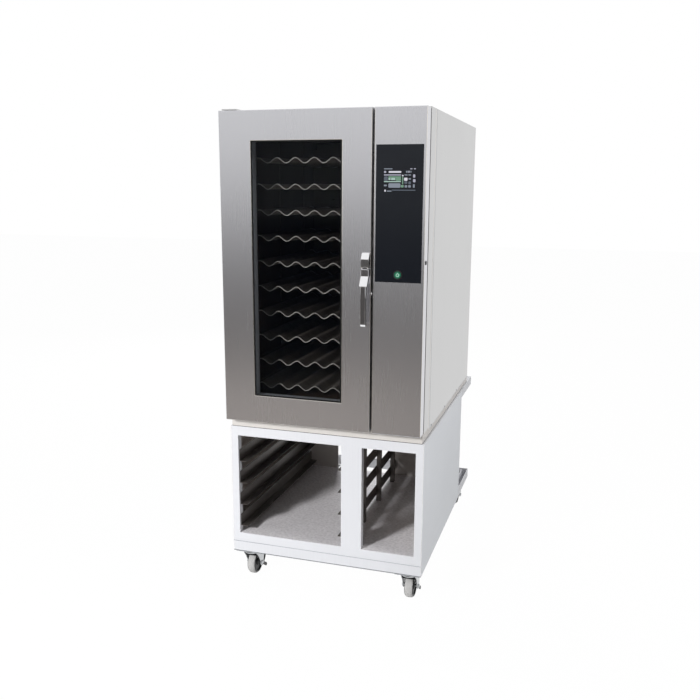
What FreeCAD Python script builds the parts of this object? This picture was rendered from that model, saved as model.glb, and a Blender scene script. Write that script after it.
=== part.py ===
"""Ten-tray convection oven on a wheeled tray stand.

Millimetres. +Z is up, the door faces -Y and +X is the viewer's right. The origin is on the floor,
under the middle of the whole object.
"""
import FreeCAD, Part

import math
import os

Vec = FreeCAD.Vector
X_AXIS = Vec(1, 0, 0)
Y_AXIS = Vec(0, 1, 0)
Z_AXIS = Vec(0, 0, 1)

# Heights, from the floor up
stand_height = 551.0
base_height = 37.0
body_height = 1209.0
door_clear = 4.0

# Widths and depths
oven_width = 800.0
stand_overhang = 6.0
stand_depth = 1183.0
stand_setback = 52.0
handle_reach = 45.0
body_depth = 1055.0
sheet = 1.5
frame_sheet = 2.0
panel_reveal = 2.0
panel_overlap = 10.0

# Door
door_depth = 56.0
door_side_gap = 9.0
seal_gap = 12.0
edge_round = 2.5
window_left = 128.0
window_right = 111.0
window_bottom = 109.0
window_top = 109.0
glass_thick = 5.0
glass_overlap = 12.0
window_seal_width = 7.0
window_seal_thick = 1.2
spacer_wall = 2.0
gasket_width = 18.0
gasket_offset = 3.0
gasket_clear = 0.3

# Door hinge
hinge_inset = 12.0
hinge_pin_r = 6.0
hinge_pin_length = 26.0
hinge_block_height = 40.0
hinge_block_width = 26.0
bottom_plate_thick = 2.5
top_plate_thick = 4.0
hinge_plate_width = 60.0
hinge_plate_nose = 14.0
top_plate_back = 115.0
pin_clear = 0.05
hole_clear = 2.0

# Handle and latch
handle_width = 30.0
handle_edge = 2.0
housing_depth = 24.0
housing_height = 51.0
housing_facet = 22.0
housing_facet_back = 10.0
pivot_above_bottom = 637.0
pivot_r = 8.0
pivot_pin_r = 3.0
knuckle_share = 14.0
knuckle_gap = 0.3
lever_head = 26.0
lever_thick = 16.0
lever_slant = 32.0
grip_thick = 14.0
grip_width = 20.0
grip_length = 151.0
bolt_r = 6.5
bolt_length = 44.0
bolt_reach = 6.0
bolt_above_bottom = 536.0
bolt_set_back = 14.0
keeper_width = 20.0
keeper_height = 32.0

# Cavity
cavity_left = 75.0
cavity_above_base = 79.0
top_insulation = 72.0
mouth_flange = 20.0
right_insulation = 60.0
rear_insulation = 60.0
return_depth = 83.0
bulkhead_thick = 3.0

# Trays and their rack
tray_pitch = 100.0
tray_set_back = 55.0
tray_rear_gap = 35.5
tray_side_room = 25.0
tray_headroom = 100.0
first_tray_above_floor = 38.0
flute_count = 5
flute_pitch = 77.0
flute_depth = 20.0
tray_rim = 7.5
tray_sheet = 1.2
ledge_rest = 6.0
ledge_thick = 2.0
rack_bar = 4.0
rack_bar_width = 20.0
rack_bar_count = 3

# Hot air
chamber_depth = 140.0
baffle_side_gap = 30.0
baffle_end_gap = 40.0
standoff_r = 5.0
suction_r = 120.0
suction_hole_r = 9.0
suction_pitch = 24.0
fan_r = 165.0
fan_width = 70.0
fan_rear_gap = 20.0
fan_hub_r = 26.0
fan_plate = 2.0
blade_count = 12
blade_length = 45.0
blade_thick = 2.0
shaft_r = 9.0
shaft_in_motor = 60.0
shaft_hole_r = 15.0
motor_r = 68.0
motor_length = 135.0
motor_rear_gap = 22.0
motor_flange = 160.0
motor_flange_thick = 6.0
heater_ring_r = 196.0
heater_tube_r = 4.5
heater_ring_count = 3
heater_ring_pitch = 20.0
heater_leg_r = 6.0
heater_leg_spacing = 40.0
terminal_length = 25.0
pipe_clear = 0.3
vent_r = 24.0
vent_wall = 1.5
spigot_r = 25.0
vent_reach = 70.0
vent_left = 80.0
vent_below_top = 62.0
steam_pipe_r = 6.0
steam_pipe_left = 45.0
water_stub_r = 9.5
water_thread_r = 10.5
water_stub_reach = 30.0
valve_size = 45.0

# Controls
fascia_width = 190.0
overlay_left = 7.0
overlay_right = 10.0
overlay_bottom = 583.0
overlay_height = 489.0
overlay_thick = 1.5
screen_width = 120.0
screen_height = 83.0
screen_bottom = 907.0
screen_depth = 14.0
screen_proud = 0.3
screen_clear = 0.5
board_width = 150.0
board_height = 180.0
board_thick = 1.6
button_bottom = 611.0
button_r = 12.5
button_clear = 0.3
button_proud = 4.0
button_length = 17.0
switch_wall = 1.5
switch_depth = 24.0
bezel_width = 3.0
bezel_thick = 2.0
standoff_post_r = 8.0
standoff_inset = 24.0
contactor_width = 45.0
contactor_height = 80.0
contactor_depth = 70.0
contactor_count = 3
contactor_height_above_base = 480.0
gland_r = 14.0
gland_bore_r = 8.0
gland_length = 34.0
gland_flange_r = 20.0
gland_flange_thick = 5.0
gland_from_right = 80.0
gland_above_base = 54.0

# Rear vents and screws
louvre_length = 70.0
louvre_height = 6.0
louvre_rows = 10
louvre_columns = 3
louvre_row_pitch = 22.0
louvre_column_pitch = 100.0
louvre_inset = 100.0
screw_head_r = 5.0
screw_head_thick = 2.0
side_screw_depths = (211.0, 500.0, 802.0)
fascia_screw_depth = 28.0
fascia_screw_height = 655.0

# Stand
top_rail = 40.0
base_rail = 44.0
shelf_rail = 39.0
rail_width = 30.0
post_size = 30.0
stand_panel_depth = 880.0
centre_post_left = 478.0
centre_post_width = 85.0
runner_pitch = 95.0
runner_first = 28.0
runner_flange = 50.0
runner_ledge = 33.0
runner_front_gap = 10.0
upright_size = 20.0
upright_count = 4
upright_pitch = 255.0
upright_inset = 9.0
service_left = 181.0
service_width = 282.0
service_height = 209.0

# Castors
castor_inset_x = 59.0
castor_inset_y = 55.0
castor_plate = 100.0
castor_plate_thick = 6.0
kingpin_r = 8.0
castor_trail = 32.0
wheel_r = 50.0
wheel_width = 36.0
wheel_round = 8.0
wheel_side_gap = 3.0
axle_r = 6.0
fork_sheet = 4.0
fork_gap = 0.5
crown_r = 32.0
crown_thick = 17.0
crown_room = 2.5
hood_gap = 6.0
hood_sheet = 3.0
hood_start_deg = 40.0
hood_end_deg = 150.0
axle_boss_r = 13.0
pedal_pivot_r = 57.0
pedal_pivot_deg = -34.0
pedal_pin_r = 3.0
pedal_boss_r = 7.0
pedal_width = 26.0
pedal_thick = 5.0
pedal_bend_r = 34.0
pedal_toe = 26.0

# Stations worked out from the sizes above
half_oven = oven_width / 2
half_stand = half_oven + stand_overhang
crown_z0 = 2 * wheel_r + hood_gap + hood_sheet + crown_room
crown_z1 = crown_z0 + crown_thick
castor_plate_z0 = crown_z1 + fork_gap
stand_z0 = castor_plate_z0 + castor_plate_thick
stand_z1 = stand_z0 + stand_height
base_z1 = stand_z1 + base_height
body_z1 = base_z1 + body_height
door_z0 = base_z1 + door_clear
door_z1 = body_z1 - door_clear
total_depth = handle_reach + stand_setback + stand_depth
front_y = handle_reach - total_depth / 2
door_rear_y = front_y + door_depth
face_y = door_rear_y + seal_gap
rear_y = face_y + body_depth
stand_y0 = front_y + stand_setback
stand_y1 = stand_y0 + stand_depth
post_rear_y = stand_y0 + stand_panel_depth

door_x0 = -half_oven
fascia_x1 = half_oven
fascia_x0 = fascia_x1 - fascia_width
door_x1 = fascia_x0 - door_side_gap
window_x0 = door_x0 + window_left
window_x1 = door_x1 - window_right
window_z0 = door_z0 + window_bottom
window_z1 = door_z1 - window_top
hinge_x = door_x0 + hinge_inset
hinge_y = door_rear_y - hinge_inset

cavity_x0 = -half_oven + cavity_left
tray_width = flute_count * flute_pitch + 2 * tray_rim
cavity_x1 = cavity_x0 + tray_width + 2 * tray_side_room
cavity_z0 = base_z1 + cavity_above_base
cavity_z1 = body_z1 - 2 * sheet - top_insulation
bulkhead_y1 = rear_y - sheet - motor_rear_gap - motor_length
slab_rear = bulkhead_y1 - bulkhead_thick
cavity_rear = slab_rear - rear_insulation - sheet
cavity_mid_x = (cavity_x0 + cavity_x1) / 2
wall_x0 = cavity_x1 + sheet + right_insulation
wall_x1 = wall_x0 + sheet
panel_front = face_y + return_depth + panel_reveal
panel_in = half_oven - sheet
baffle_y1 = cavity_rear - chamber_depth
cavity_height = cavity_z1 - cavity_z0
fan_levels = (cavity_z0 + cavity_height / 4, cavity_z1 - cavity_height / 4)
fan_y1 = cavity_rear - fan_rear_gap
fan_y0 = fan_y1 - fan_width
vent_x = cavity_x0 + vent_left
vent_z = cavity_z1 - vent_below_top
steam_x = cavity_x0 + steam_pipe_left
steam_z = (fan_levels[0] + fan_levels[1]) / 2

tray_x0 = cavity_x0 + tray_side_room
tray_y0 = face_y + tray_set_back
tray_y1 = baffle_y1 - sheet - tray_rear_gap
tray_length = tray_y1 - tray_y0
tray_count = 1 + int((cavity_height - first_tray_above_floor - tray_headroom) // tray_pitch)

overlay_x0 = fascia_x0 + overlay_left
overlay_width = fascia_width - overlay_left - overlay_right
overlay_z0 = door_z0 + overlay_bottom
overlay_mid_x = overlay_x0 + overlay_width / 2
overlay_front = front_y - overlay_thick
screen_x0 = overlay_mid_x - screen_width / 2
screen_z0 = door_z0 + screen_bottom
button_z = door_z0 + button_bottom
switch_r = button_r + button_clear + switch_wall
gland_x = half_oven - gland_from_right
gland_z = base_z1 + gland_above_base

pivot_z = door_z0 + pivot_above_bottom
housing_front = front_y - housing_depth
pivot_y = housing_front + pivot_r
handle_x1 = door_x1 - handle_edge
handle_mid_x = handle_x1 - handle_width / 2
bolt_y = front_y + bolt_set_back
bolt_z = door_z0 + bolt_above_bottom

shelf_z1 = stand_z0 + base_rail + shelf_rail
rail_z0 = stand_z1 - top_rail
base_rail_z1 = stand_z0 + base_rail
post_out = half_stand - sheet
centre_post_x0 = -half_stand + centre_post_left
runner_count = 1 + int((rail_z0 - shelf_z1 - runner_first - runner_flange) // runner_pitch)


def box(x0, x1, y0, y1, z0, z1):
    """Return a block between two corners."""
    return Part.makeBox(x1 - x0, y1 - y0, z1 - z0, Vec(x0, y0, z0))


def rod(radius, start, axis, length):
    """Return a cylinder from a start point along an axis."""
    return Part.makeCylinder(radius, length, start, axis)


def union(shapes):
    """Return one solid of touching shapes."""
    shapes = list(shapes)
    return shapes[0].fuse(shapes[1:]).removeSplitter()


def cut(shape, tools):
    """Return a shape with every tool taken away."""
    return shape.cut(list(tools))


def prism_x(points, x0, x1):
    """Return a plate with a (y, z) outline between two x stations."""
    outline = Part.makePolygon([Vec(x0, y, z) for y, z in points + points[:1]])
    return Part.Face(outline).extrude(Vec(x1 - x0, 0, 0))


def arc_band(centre, r_in, r_out, start_deg, end_deg, x0, x1):
    """Return a bent plate round a (y, z) centre; angles run from +Y towards +Z."""
    def point(radius, degrees):
        angle = math.radians(degrees)
        return Vec(x0, centre[0] + radius * math.cos(angle), centre[1] + radius * math.sin(angle))

    mid_deg = (start_deg + end_deg) / 2
    outer = Part.Arc(point(r_out, start_deg), point(r_out, mid_deg), point(r_out, end_deg)).toShape()
    inner = Part.Arc(point(r_in, end_deg), point(r_in, mid_deg), point(r_in, start_deg)).toShape()
    ends = [Part.LineSegment(point(r_out, end_deg), point(r_in, end_deg)).toShape(),
            Part.LineSegment(point(r_in, start_deg), point(r_out, start_deg)).toShape()]
    outline = Part.Wire([outer, ends[0], inner, ends[1]])
    return Part.Face(outline).extrude(Vec(x1 - x0, 0, 0))


def ring_frame(x0, x1, y0, y1, z0, z1, width):
    """Return a rectangular ring lying flat."""
    inner = box(x0 + width, x1 - width, y0 + width, y1 - width, z0, z1)
    return box(x0, x1, y0, y1, z0, z1).cut(inner)


def window_pane(grow, y0, y1):
    """Return an upright pane as large as the door window, grown all round."""
    return box(window_x0 - grow, window_x1 + grow, y0, y1, window_z0 - grow, window_z1 + grow)


def window_ring(grow_out, grow_in, y0, y1):
    """Return an upright ring round the door window, grown outwards and inwards."""
    return window_pane(grow_out, y0, y1).cut(window_pane(-grow_in, y0, y1))


def save(node, *solids):
    """Write one node, as a single solid or as a group of solids."""
    shape = solids[0] if len(solids) == 1 else Part.makeCompound(list(solids))
    shape.exportStep("parts/" + node + ".step")


def build_stand():
    """Frames, posts, sheets and runners of the stand."""
    gutter = frame_sheet
    cross_y1 = post_rear_y - sheet
    spine_x0 = centre_post_x0 + upright_inset
    spine = (spine_x0, spine_x0 + rail_width, stand_y0 + rail_width, cross_y1 - rail_width)
    cross = (-post_out + rail_width, post_out - rail_width, cross_y1 - rail_width, cross_y1)
    top_ring = ring_frame(-post_out, post_out, stand_y0, stand_y1, rail_z0, stand_z1, rail_width)
    top_gutter = ring_frame(-post_out + gutter, post_out - gutter, stand_y0 + gutter,
                            stand_y1 - gutter, rail_z0, stand_z1 - gutter, rail_width - 2 * gutter)
    top_bars = [box(*cross, rail_z0, stand_z1), box(*spine, rail_z0, stand_z1)]
    save("stand_top_frame", union([top_ring.cut(top_gutter)] + top_bars))

    base_ring = ring_frame(-post_out, post_out, stand_y0, stand_y1, stand_z0, base_rail_z1, rail_width)
    base_gutter = ring_frame(-post_out + gutter, post_out - gutter, stand_y0 + gutter,
                             stand_y1 - gutter, stand_z0 + gutter, base_rail_z1, rail_width - 2 * gutter)
    save("stand_base_frame", union([base_ring.cut(base_gutter), box(*cross, stand_z0, base_rail_z1)]))

    posts = corner_posts()
    centre = box(centre_post_x0, centre_post_x0 + centre_post_width, stand_y0, stand_y0 + post_size,
                 shelf_z1, rail_z0)
    hollow = box(centre_post_x0 + frame_sheet, centre_post_x0 + centre_post_width - frame_sheet,
                 stand_y0 + frame_sheet, stand_y0 + post_size, shelf_z1, rail_z0)
    save("stand_posts", *posts)
    save("stand_center_post", centre.cut(hollow))

    notches = [box(x0, x0 + post_size, y0, y0 + post_size, base_rail_z1, shelf_z1)
               for x0, y0 in post_corners()]
    deck = box(-post_out, post_out, stand_y0, post_rear_y - sheet, shelf_z1 - sheet, shelf_z1)
    apron_half = post_out - post_size
    apron = box(-apron_half, apron_half, stand_y0, stand_y0 + sheet, base_rail_z1, shelf_z1)
    rear_apron = apron.translated(Vec(0, stand_panel_depth - 2 * sheet, 0))
    save("stand_base_shelf", cut(union([deck, apron, rear_apron]), notches))

    side = box(-half_stand, -post_out, stand_y0, post_rear_y, stand_z0, stand_z1)
    save("stand_side_panels", side, side.translated(Vec(half_stand + post_out, 0, 0)))

    back = box(-post_out, post_out, post_rear_y - sheet, post_rear_y, base_rail_z1, rail_z0)
    passage_x0 = -half_stand + service_left
    passage = box(passage_x0, passage_x0 + service_width, post_rear_y - sheet, post_rear_y,
                  base_rail_z1, shelf_z1 + service_height)
    save("stand_back_panel", back.cut(passage))


def post_corners():
    """Return the low x and y of each corner post."""
    rear = post_rear_y - sheet - post_size
    right = post_out - post_size
    return [(-post_out, stand_y0), (right, stand_y0), (-post_out, rear), (right, rear)]


def corner_posts():
    """Return the four square tubes of the stand."""
    wall = frame_sheet
    posts = []
    for x0, y0 in post_corners():
        tube = box(x0, x0 + post_size, y0, y0 + post_size, base_rail_z1, rail_z0)
        bore = box(x0 + wall, x0 + post_size - wall, y0 + wall, y0 + post_size - wall,
                   base_rail_z1, rail_z0)
        posts.append(tube.cut(bore))
    return posts


def build_runners():
    """Angle runners of the stand and the uprights of its middle rack."""
    left_x = -post_out + post_size
    right_x = centre_post_x0 + upright_inset
    rear = post_rear_y - sheet
    sides = ((left_x, 1, stand_y0 + runner_front_gap), (right_x, -1, stand_y0 + post_size))
    runners = []
    for level in range(runner_count):
        z0 = shelf_z1 + runner_first + level * runner_pitch
        for wall_x, inward, y0 in sides:
            flange_x = sorted((wall_x, wall_x + inward * sheet))
            ledge_x = sorted((wall_x, wall_x + inward * runner_ledge))
            flange = box(*flange_x, y0, rear, z0, z0 + runner_flange)
            ledge = box(*ledge_x, y0, rear, z0, z0 + sheet)
            runners.append(union([flange, ledge]))
    save("stand_runners", *runners)

    uprights = []
    for i in range(upright_count):
        y0 = stand_y0 + max(post_size, i * upright_pitch)
        uprights.append(box(right_x, right_x + upright_size, y0, y0 + upright_size, shelf_z1, rail_z0))
    save("stand_rack_uprights", *uprights)


def castor_places():
    """Return the name and swivel axis of each castor, with whether it has a brake."""
    x = half_stand - castor_inset_x
    y_front = stand_y0 + castor_inset_y
    y_rear = stand_y1 - castor_inset_y - castor_trail
    return [("front_left", -x, y_front, True), ("front_right", x, y_front, True),
            ("rear_left", -x, y_rear, False), ("rear_right", x, y_rear, False)]


def castor_fork(x, y, braked):
    """Return the crown, hood, legs and axle of one castor."""
    wheel_y = y + castor_trail
    leg_in = wheel_width / 2 + wheel_side_gap
    leg_out = leg_in + fork_sheet
    hood_r = wheel_r + hood_gap
    crown = rod(crown_r, Vec(x, y, crown_z0), Z_AXIS, crown_thick)
    roof = arc_band((wheel_y, wheel_r), hood_r, hood_r + hood_sheet, hood_start_deg, hood_end_deg,
                    x - leg_out, x + leg_out)
    start, end = math.radians(hood_start_deg), math.radians(hood_end_deg)
    reach = hood_r + hood_sheet
    leg = [(wheel_y + reach * math.cos(start), wheel_r + reach * math.sin(start)),
           (wheel_y + crown_r / 2, crown_z1 - crown_thick / 2),
           (y - crown_r / 2, crown_z1 - crown_thick / 2),
           (wheel_y + reach * math.cos(end), wheel_r + reach * math.sin(end)),
           (wheel_y - axle_boss_r, wheel_r - axle_boss_r / 2),
           (wheel_y + axle_boss_r, wheel_r - axle_boss_r / 2)]
    pieces = [crown, roof]
    for x0 in (x - leg_out, x + leg_in):
        pieces.append(prism_x(leg, x0, x0 + fork_sheet))
        pieces.append(rod(axle_boss_r, Vec(x0, wheel_y, wheel_r), X_AXIS, fork_sheet))
        if braked:
            pieces.append(pedal_lug(x0, wheel_y))
    pieces.append(rod(axle_r, Vec(x - leg_out, wheel_y, wheel_r), X_AXIS, 2 * leg_out))
    if braked:
        pin = pedal_pivot(wheel_y)
        pieces.append(rod(pedal_pin_r, Vec(x - leg_out, *pin), X_AXIS, 2 * leg_out))
    fork = union(pieces)
    bore = rod(kingpin_r + pin_clear, Vec(x, y, crown_z0), Z_AXIS, crown_thick)
    return fork.cut(bore)


def pedal_pivot(wheel_y):
    """Return the (y, z) of the brake pedal's pin, low behind the wheel."""
    angle = math.radians(pedal_pivot_deg)
    return wheel_y + pedal_pivot_r * math.cos(angle), wheel_r + pedal_pivot_r * math.sin(angle)


def pedal_lug(x0, wheel_y):
    """Return the arm of a fork leg that reaches to the pedal's pin."""
    pin_y, pin_z = pedal_pivot(wheel_y)
    along = Vec(0, pin_y - wheel_y, pin_z - wheel_r)
    along.normalize()
    side = Vec(0, -along.z, along.y) * pedal_boss_r
    hub, end = Vec(x0, wheel_y, wheel_r), Vec(x0, pin_y, pin_z)
    corners = [hub + side, end + side, end - side, hub - side]
    arm = prism_x([(c.y, c.z) for c in corners], x0, x0 + fork_sheet)
    return arm.fuse(rod(pedal_boss_r, end, X_AXIS, fork_sheet))


def brake_pedal(x, wheel_y):
    """Return the J-shaped pedal that curves up behind the wheel."""
    pin_y, pin_z = pedal_pivot(wheel_y)
    x0 = x - pedal_width / 2
    barrel = rod(pedal_boss_r, Vec(x0, pin_y, pin_z), X_AXIS, pedal_width)
    bend_z = pin_z + pedal_bend_r
    inner_r = pedal_bend_r - pedal_thick / 2
    bend = arc_band((pin_y, bend_z), inner_r, inner_r + pedal_thick, -90, 0, x0, x0 + pedal_width)
    toe_y0 = pin_y + inner_r
    toe = box(x0, x0 + pedal_width, toe_y0, toe_y0 + pedal_thick, bend_z, bend_z + pedal_toe)
    bore = rod(pedal_pin_r + pin_clear, Vec(x0, pin_y, pin_z), X_AXIS, pedal_width)
    return union([barrel, bend, toe]).cut(bore)


def castor_wheel(x, wheel_y):
    """Return a wheel with a rounded tread and a bore for its axle."""
    x0 = x - wheel_width / 2
    wheel = rod(wheel_r, Vec(x0, wheel_y, wheel_r), X_AXIS, wheel_width)
    rims = [edge for edge in wheel.Edges if edge.Curve.TypeId == "Part::GeomCircle"]
    wheel = wheel.makeFillet(wheel_round, rims)
    return wheel.cut(rod(axle_r + pin_clear, Vec(x0, wheel_y, wheel_r), X_AXIS, wheel_width))


def build_castors():
    """Plates, forks, wheels and brake pedals."""
    pin_length = castor_plate_z0 - crown_z0
    plates = []
    for name, x, y, braked in castor_places():
        half = castor_plate / 2
        plate = box(x - half, x + half, y - half, y + half, castor_plate_z0, stand_z0)
        plates.append(plate.fuse(rod(kingpin_r, Vec(x, y, crown_z0), Z_AXIS, pin_length)))
        save("castor_fork_" + name, castor_fork(x, y, braked))
        save("castor_wheel_" + name, castor_wheel(x, y + castor_trail))
        if braked:
            save("castor_brake_" + name, brake_pedal(x, y + castor_trail))
    save("castor_plates", *plates)


def rear_wall_tools(y0, y1):
    """Return the cutters for all that passes through the cavity's rear wall."""
    depth = y1 - y0
    tools = [rod(shaft_hole_r, Vec(cavity_mid_x, y0, z), Y_AXIS, depth) for z in fan_levels]
    for z in fan_levels:
        for x in heater_leg_places():
            tools.append(rod(heater_leg_r + pipe_clear, Vec(x, y0, heater_leg_height(z, x)), Y_AXIS, depth))
    tools.append(rod(vent_r + pipe_clear, Vec(vent_x, y0, vent_z), Y_AXIS, depth))
    tools.append(rod(steam_pipe_r + pipe_clear, Vec(steam_x, y0, steam_z), Y_AXIS, depth))
    return tools


def heater_leg_places():
    """Return the x of both legs of a heater."""
    return cavity_mid_x - heater_leg_spacing / 2, cavity_mid_x + heater_leg_spacing / 2


def heater_leg_height(level, x):
    """Return the height of a heater leg, on its rings' centre line."""
    return level + math.sqrt(heater_ring_r ** 2 - (x - cavity_mid_x) ** 2)


def build_cavity():
    """Liner, insulation, bulkheads, trays and racks."""
    shell = box(cavity_x0 - sheet, cavity_x1 + sheet, face_y + sheet, cavity_rear + sheet,
                cavity_z0 - sheet, cavity_z1 + sheet)
    flange_y = face_y + sheet
    flange = box(cavity_x0 - mouth_flange, cavity_x1 + mouth_flange, flange_y, flange_y + sheet,
                 cavity_z0 - mouth_flange, cavity_z1 + mouth_flange)
    hollow = box(cavity_x0, cavity_x1, flange_y, cavity_rear, cavity_z0, cavity_z1)
    liner = cut(union([shell, flange]), [hollow] + rear_wall_tools(cavity_rear, cavity_rear + sheet))
    save("cavity_liner", liner)

    y0 = face_y + 2 * sheet
    z0, z1 = base_z1, body_z1 - sheet
    left, right = cavity_x0 - sheet, cavity_x1 + sheet
    low, high = cavity_z0 - sheet, cavity_z1 + sheet
    rear_slab = box(left, right, cavity_rear + sheet, slab_rear, low, high)
    slabs = [box(-panel_in, left, y0, slab_rear, z0, z1),
             box(right, wall_x0, y0, slab_rear, z0, z1),
             box(left, right, y0, slab_rear, high, z1),
             box(left, right, y0, slab_rear, z0, low),
             cut(rear_slab, rear_wall_tools(cavity_rear + sheet, slab_rear))]
    save("insulation", *slabs)

    side_wall = box(wall_x0, wall_x1, face_y + sheet, slab_rear, z0, z1)
    rear_wall = box(-panel_in, wall_x1, slab_rear, bulkhead_y1, z0, z1)
    rear_wall = cut(rear_wall, rear_wall_tools(slab_rear, bulkhead_y1))
    save("inner_bulkheads", union([side_wall, rear_wall]))

    save("tray_racks", *(tray_rack(cavity_x0, 1) + tray_rack(cavity_x1, -1)))
    trays = [tray(cavity_z0 + first_tray_above_floor + i * tray_pitch) for i in range(tray_count)]
    save("baking_trays", *trays)


def tray_rack(wall_x, inward):
    """Return the bars and ledges of one rack, inward from a cavity wall."""
    ledge_width = tray_side_room + ledge_rest - rack_bar
    bar_x = sorted((wall_x, wall_x + inward * rack_bar))
    ledge_x = sorted((wall_x + inward * rack_bar, wall_x + inward * (rack_bar + ledge_width)))
    pitch = (tray_length - rack_bar_width) / (rack_bar_count - 1)
    bars = [box(*bar_x, tray_y0 + i * pitch, tray_y0 + i * pitch + rack_bar_width, cavity_z0, cavity_z1)
            for i in range(rack_bar_count)]
    ledges = []
    for level in range(tray_count):
        top = cavity_z0 + first_tray_above_floor + level * tray_pitch + flute_depth
        ledges.append(box(*ledge_x, tray_y0, tray_y1, top - ledge_thick, top))
    return bars + ledges


def tray(trough_z):
    """Return a fluted tray whose rims stand one flute depth above its troughs."""
    steps = 4 * flute_count
    wave_x0 = tray_x0 + tray_rim
    under = []
    for i in range(steps + 1):
        share = i / steps
        rise = (1 + math.cos(2 * math.pi * flute_count * share)) / 2
        x = wave_x0 + share * flute_count * flute_pitch
        under.append(Vec(x, tray_y0, trough_z + flute_depth * rise))
    lift = Vec(0, 0, tray_sheet)
    rim = Vec(tray_rim, 0, 0)
    ends = (under[0] - rim, under[-1] + rim)
    level = X_AXIS
    edges = []
    for offset in (Vec(0, 0, 0), lift):
        wave = Part.BSplineCurve()
        wave.interpolate([p + offset for p in under], InitialTangent=level, FinalTangent=level)
        edges += [Part.LineSegment(ends[0] + offset, under[0] + offset).toShape(), wave.toShape(),
                  Part.LineSegment(under[-1] + offset, ends[1] + offset).toShape()]
    edges += [Part.LineSegment(end, end + lift).toShape() for end in ends]
    profile = Part.Face(Part.Wire(Part.__sortEdges__(edges)))
    return profile.extrude(Vec(0, tray_length, 0))


def build_hot_air():
    """Baffle, fans, motors, heaters, vent and steam inlet."""
    baffle = box(cavity_x0 + baffle_side_gap, cavity_x1 - baffle_side_gap, baffle_y1 - sheet, baffle_y1,
                 cavity_z0 + baffle_end_gap, cavity_z1 - baffle_end_gap)
    holes = [rod(suction_hole_r, Vec(cavity_mid_x + dx, baffle_y1 - sheet, z + dz), Y_AXIS, sheet)
             for z in fan_levels for dx, dz in suction_places()]
    standoffs = [rod(standoff_r, Vec(x, baffle_y1, z), Y_AXIS, chamber_depth)
                 for x in (cavity_x0 + 2 * baffle_side_gap, cavity_x1 - 2 * baffle_side_gap)
                 for z in (cavity_z0 + 2 * baffle_end_gap, cavity_z1 - 2 * baffle_end_gap)]
    save("fan_baffle", union([cut(baffle, holes)] + standoffs))

    motors = []
    for level, name in zip(fan_levels, ("lower", "upper")):
        save("fan_wheel_" + name, fan_wheel(level))
        motors.append(fan_motor(level))
    save("fan_motors", *motors)
    save("heater_elements", *[heater(level) for level in fan_levels])

    vent_foot = Vec(vent_x, cavity_rear, vent_z)
    pipe_length = rear_y - cavity_rear
    vent = rod(vent_r, vent_foot, Y_AXIS, pipe_length)
    spigot = rod(spigot_r, Vec(vent_x, rear_y, vent_z), Y_AXIS, vent_reach)
    bore = rod(vent_r - vent_wall, vent_foot, Y_AXIS, pipe_length + vent_reach)
    save("vent_pipe", vent.fuse(spigot).cut(bore))

    valve_y1 = rear_y - sheet
    half = valve_size / 2
    valve = box(steam_x - half, steam_x + half, valve_y1 - valve_size, valve_y1,
                steam_z - half, steam_z + half)
    pipe = rod(steam_pipe_r, Vec(steam_x, fan_y1, steam_z), Y_AXIS, valve_y1 - half - fan_y1)
    stub = rod(water_stub_r, Vec(steam_x, valve_y1 - half, steam_z), Y_AXIS, half + sheet)
    thread = rod(water_thread_r, Vec(steam_x, rear_y, steam_z), Y_AXIS, water_stub_reach)
    save("steam_injector", union([valve, pipe, stub, thread]))


def suction_places():
    """Return hole centres on a square grid inside the suction circle."""
    reach = int(suction_r // suction_pitch)
    grid = [(i * suction_pitch, j * suction_pitch)
            for i in range(-reach, reach + 1) for j in range(-reach, reach + 1)]
    return [(dx, dz) for dx, dz in grid if math.hypot(dx, dz) + suction_hole_r <= suction_r]


def fan_wheel(level):
    """Return a radial fan with its shaft, which runs in the motor's bore."""
    plate = rod(fan_r, Vec(cavity_mid_x, fan_y1 - fan_plate, level), Y_AXIS, fan_plate)
    hub = rod(fan_hub_r, Vec(cavity_mid_x, fan_y0 + fan_width / 2, level), Y_AXIS, fan_width / 2)
    shaft = rod(shaft_r, Vec(cavity_mid_x, fan_y0 + fan_width / 2, level), Y_AXIS,
                bulkhead_y1 + shaft_in_motor - fan_y0 - fan_width / 2)
    pieces = [plate, hub, shaft]
    tip = math.sqrt(fan_r ** 2 - (blade_thick / 2) ** 2)
    for i in range(blade_count):
        blade = box(cavity_mid_x + tip - blade_length, cavity_mid_x + tip, fan_y0, fan_y1 - fan_plate,
                    level - blade_thick / 2, level + blade_thick / 2)
        blade.rotate(Vec(cavity_mid_x, 0, level), Y_AXIS, i * 360.0 / blade_count)
        pieces.append(blade)
    return union(pieces)


def fan_motor(level):
    """Return a motor bolted to the rear bulkhead, bored for the fan's shaft."""
    half = motor_flange / 2
    flange = box(cavity_mid_x - half, cavity_mid_x + half, bulkhead_y1, bulkhead_y1 + motor_flange_thick,
                 level - half, level + half)
    case = rod(motor_r, Vec(cavity_mid_x, bulkhead_y1, level), Y_AXIS, motor_length)
    bore_length = shaft_in_motor + pipe_clear
    bore = rod(shaft_r + pin_clear, Vec(cavity_mid_x, bulkhead_y1, level), Y_AXIS, bore_length)
    return flange.fuse(case).cut(bore)


def heater(level):
    """Return the rings round one fan with the two legs that leave through the rear wall."""
    first = fan_y1 - heater_leg_r - (heater_ring_count - 1) * heater_ring_pitch
    pieces = []
    for i in range(heater_ring_count):
        centre = Vec(cavity_mid_x, first + i * heater_ring_pitch, level)
        pieces.append(Part.makeTorus(heater_ring_r, heater_tube_r, centre, Y_AXIS))
    for x in heater_leg_places():
        foot = Vec(x, first - heater_leg_r, heater_leg_height(level, x))
        pieces.append(rod(heater_leg_r, foot, Y_AXIS, bulkhead_y1 + terminal_length - foot.y))
    return union(pieces)


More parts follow.
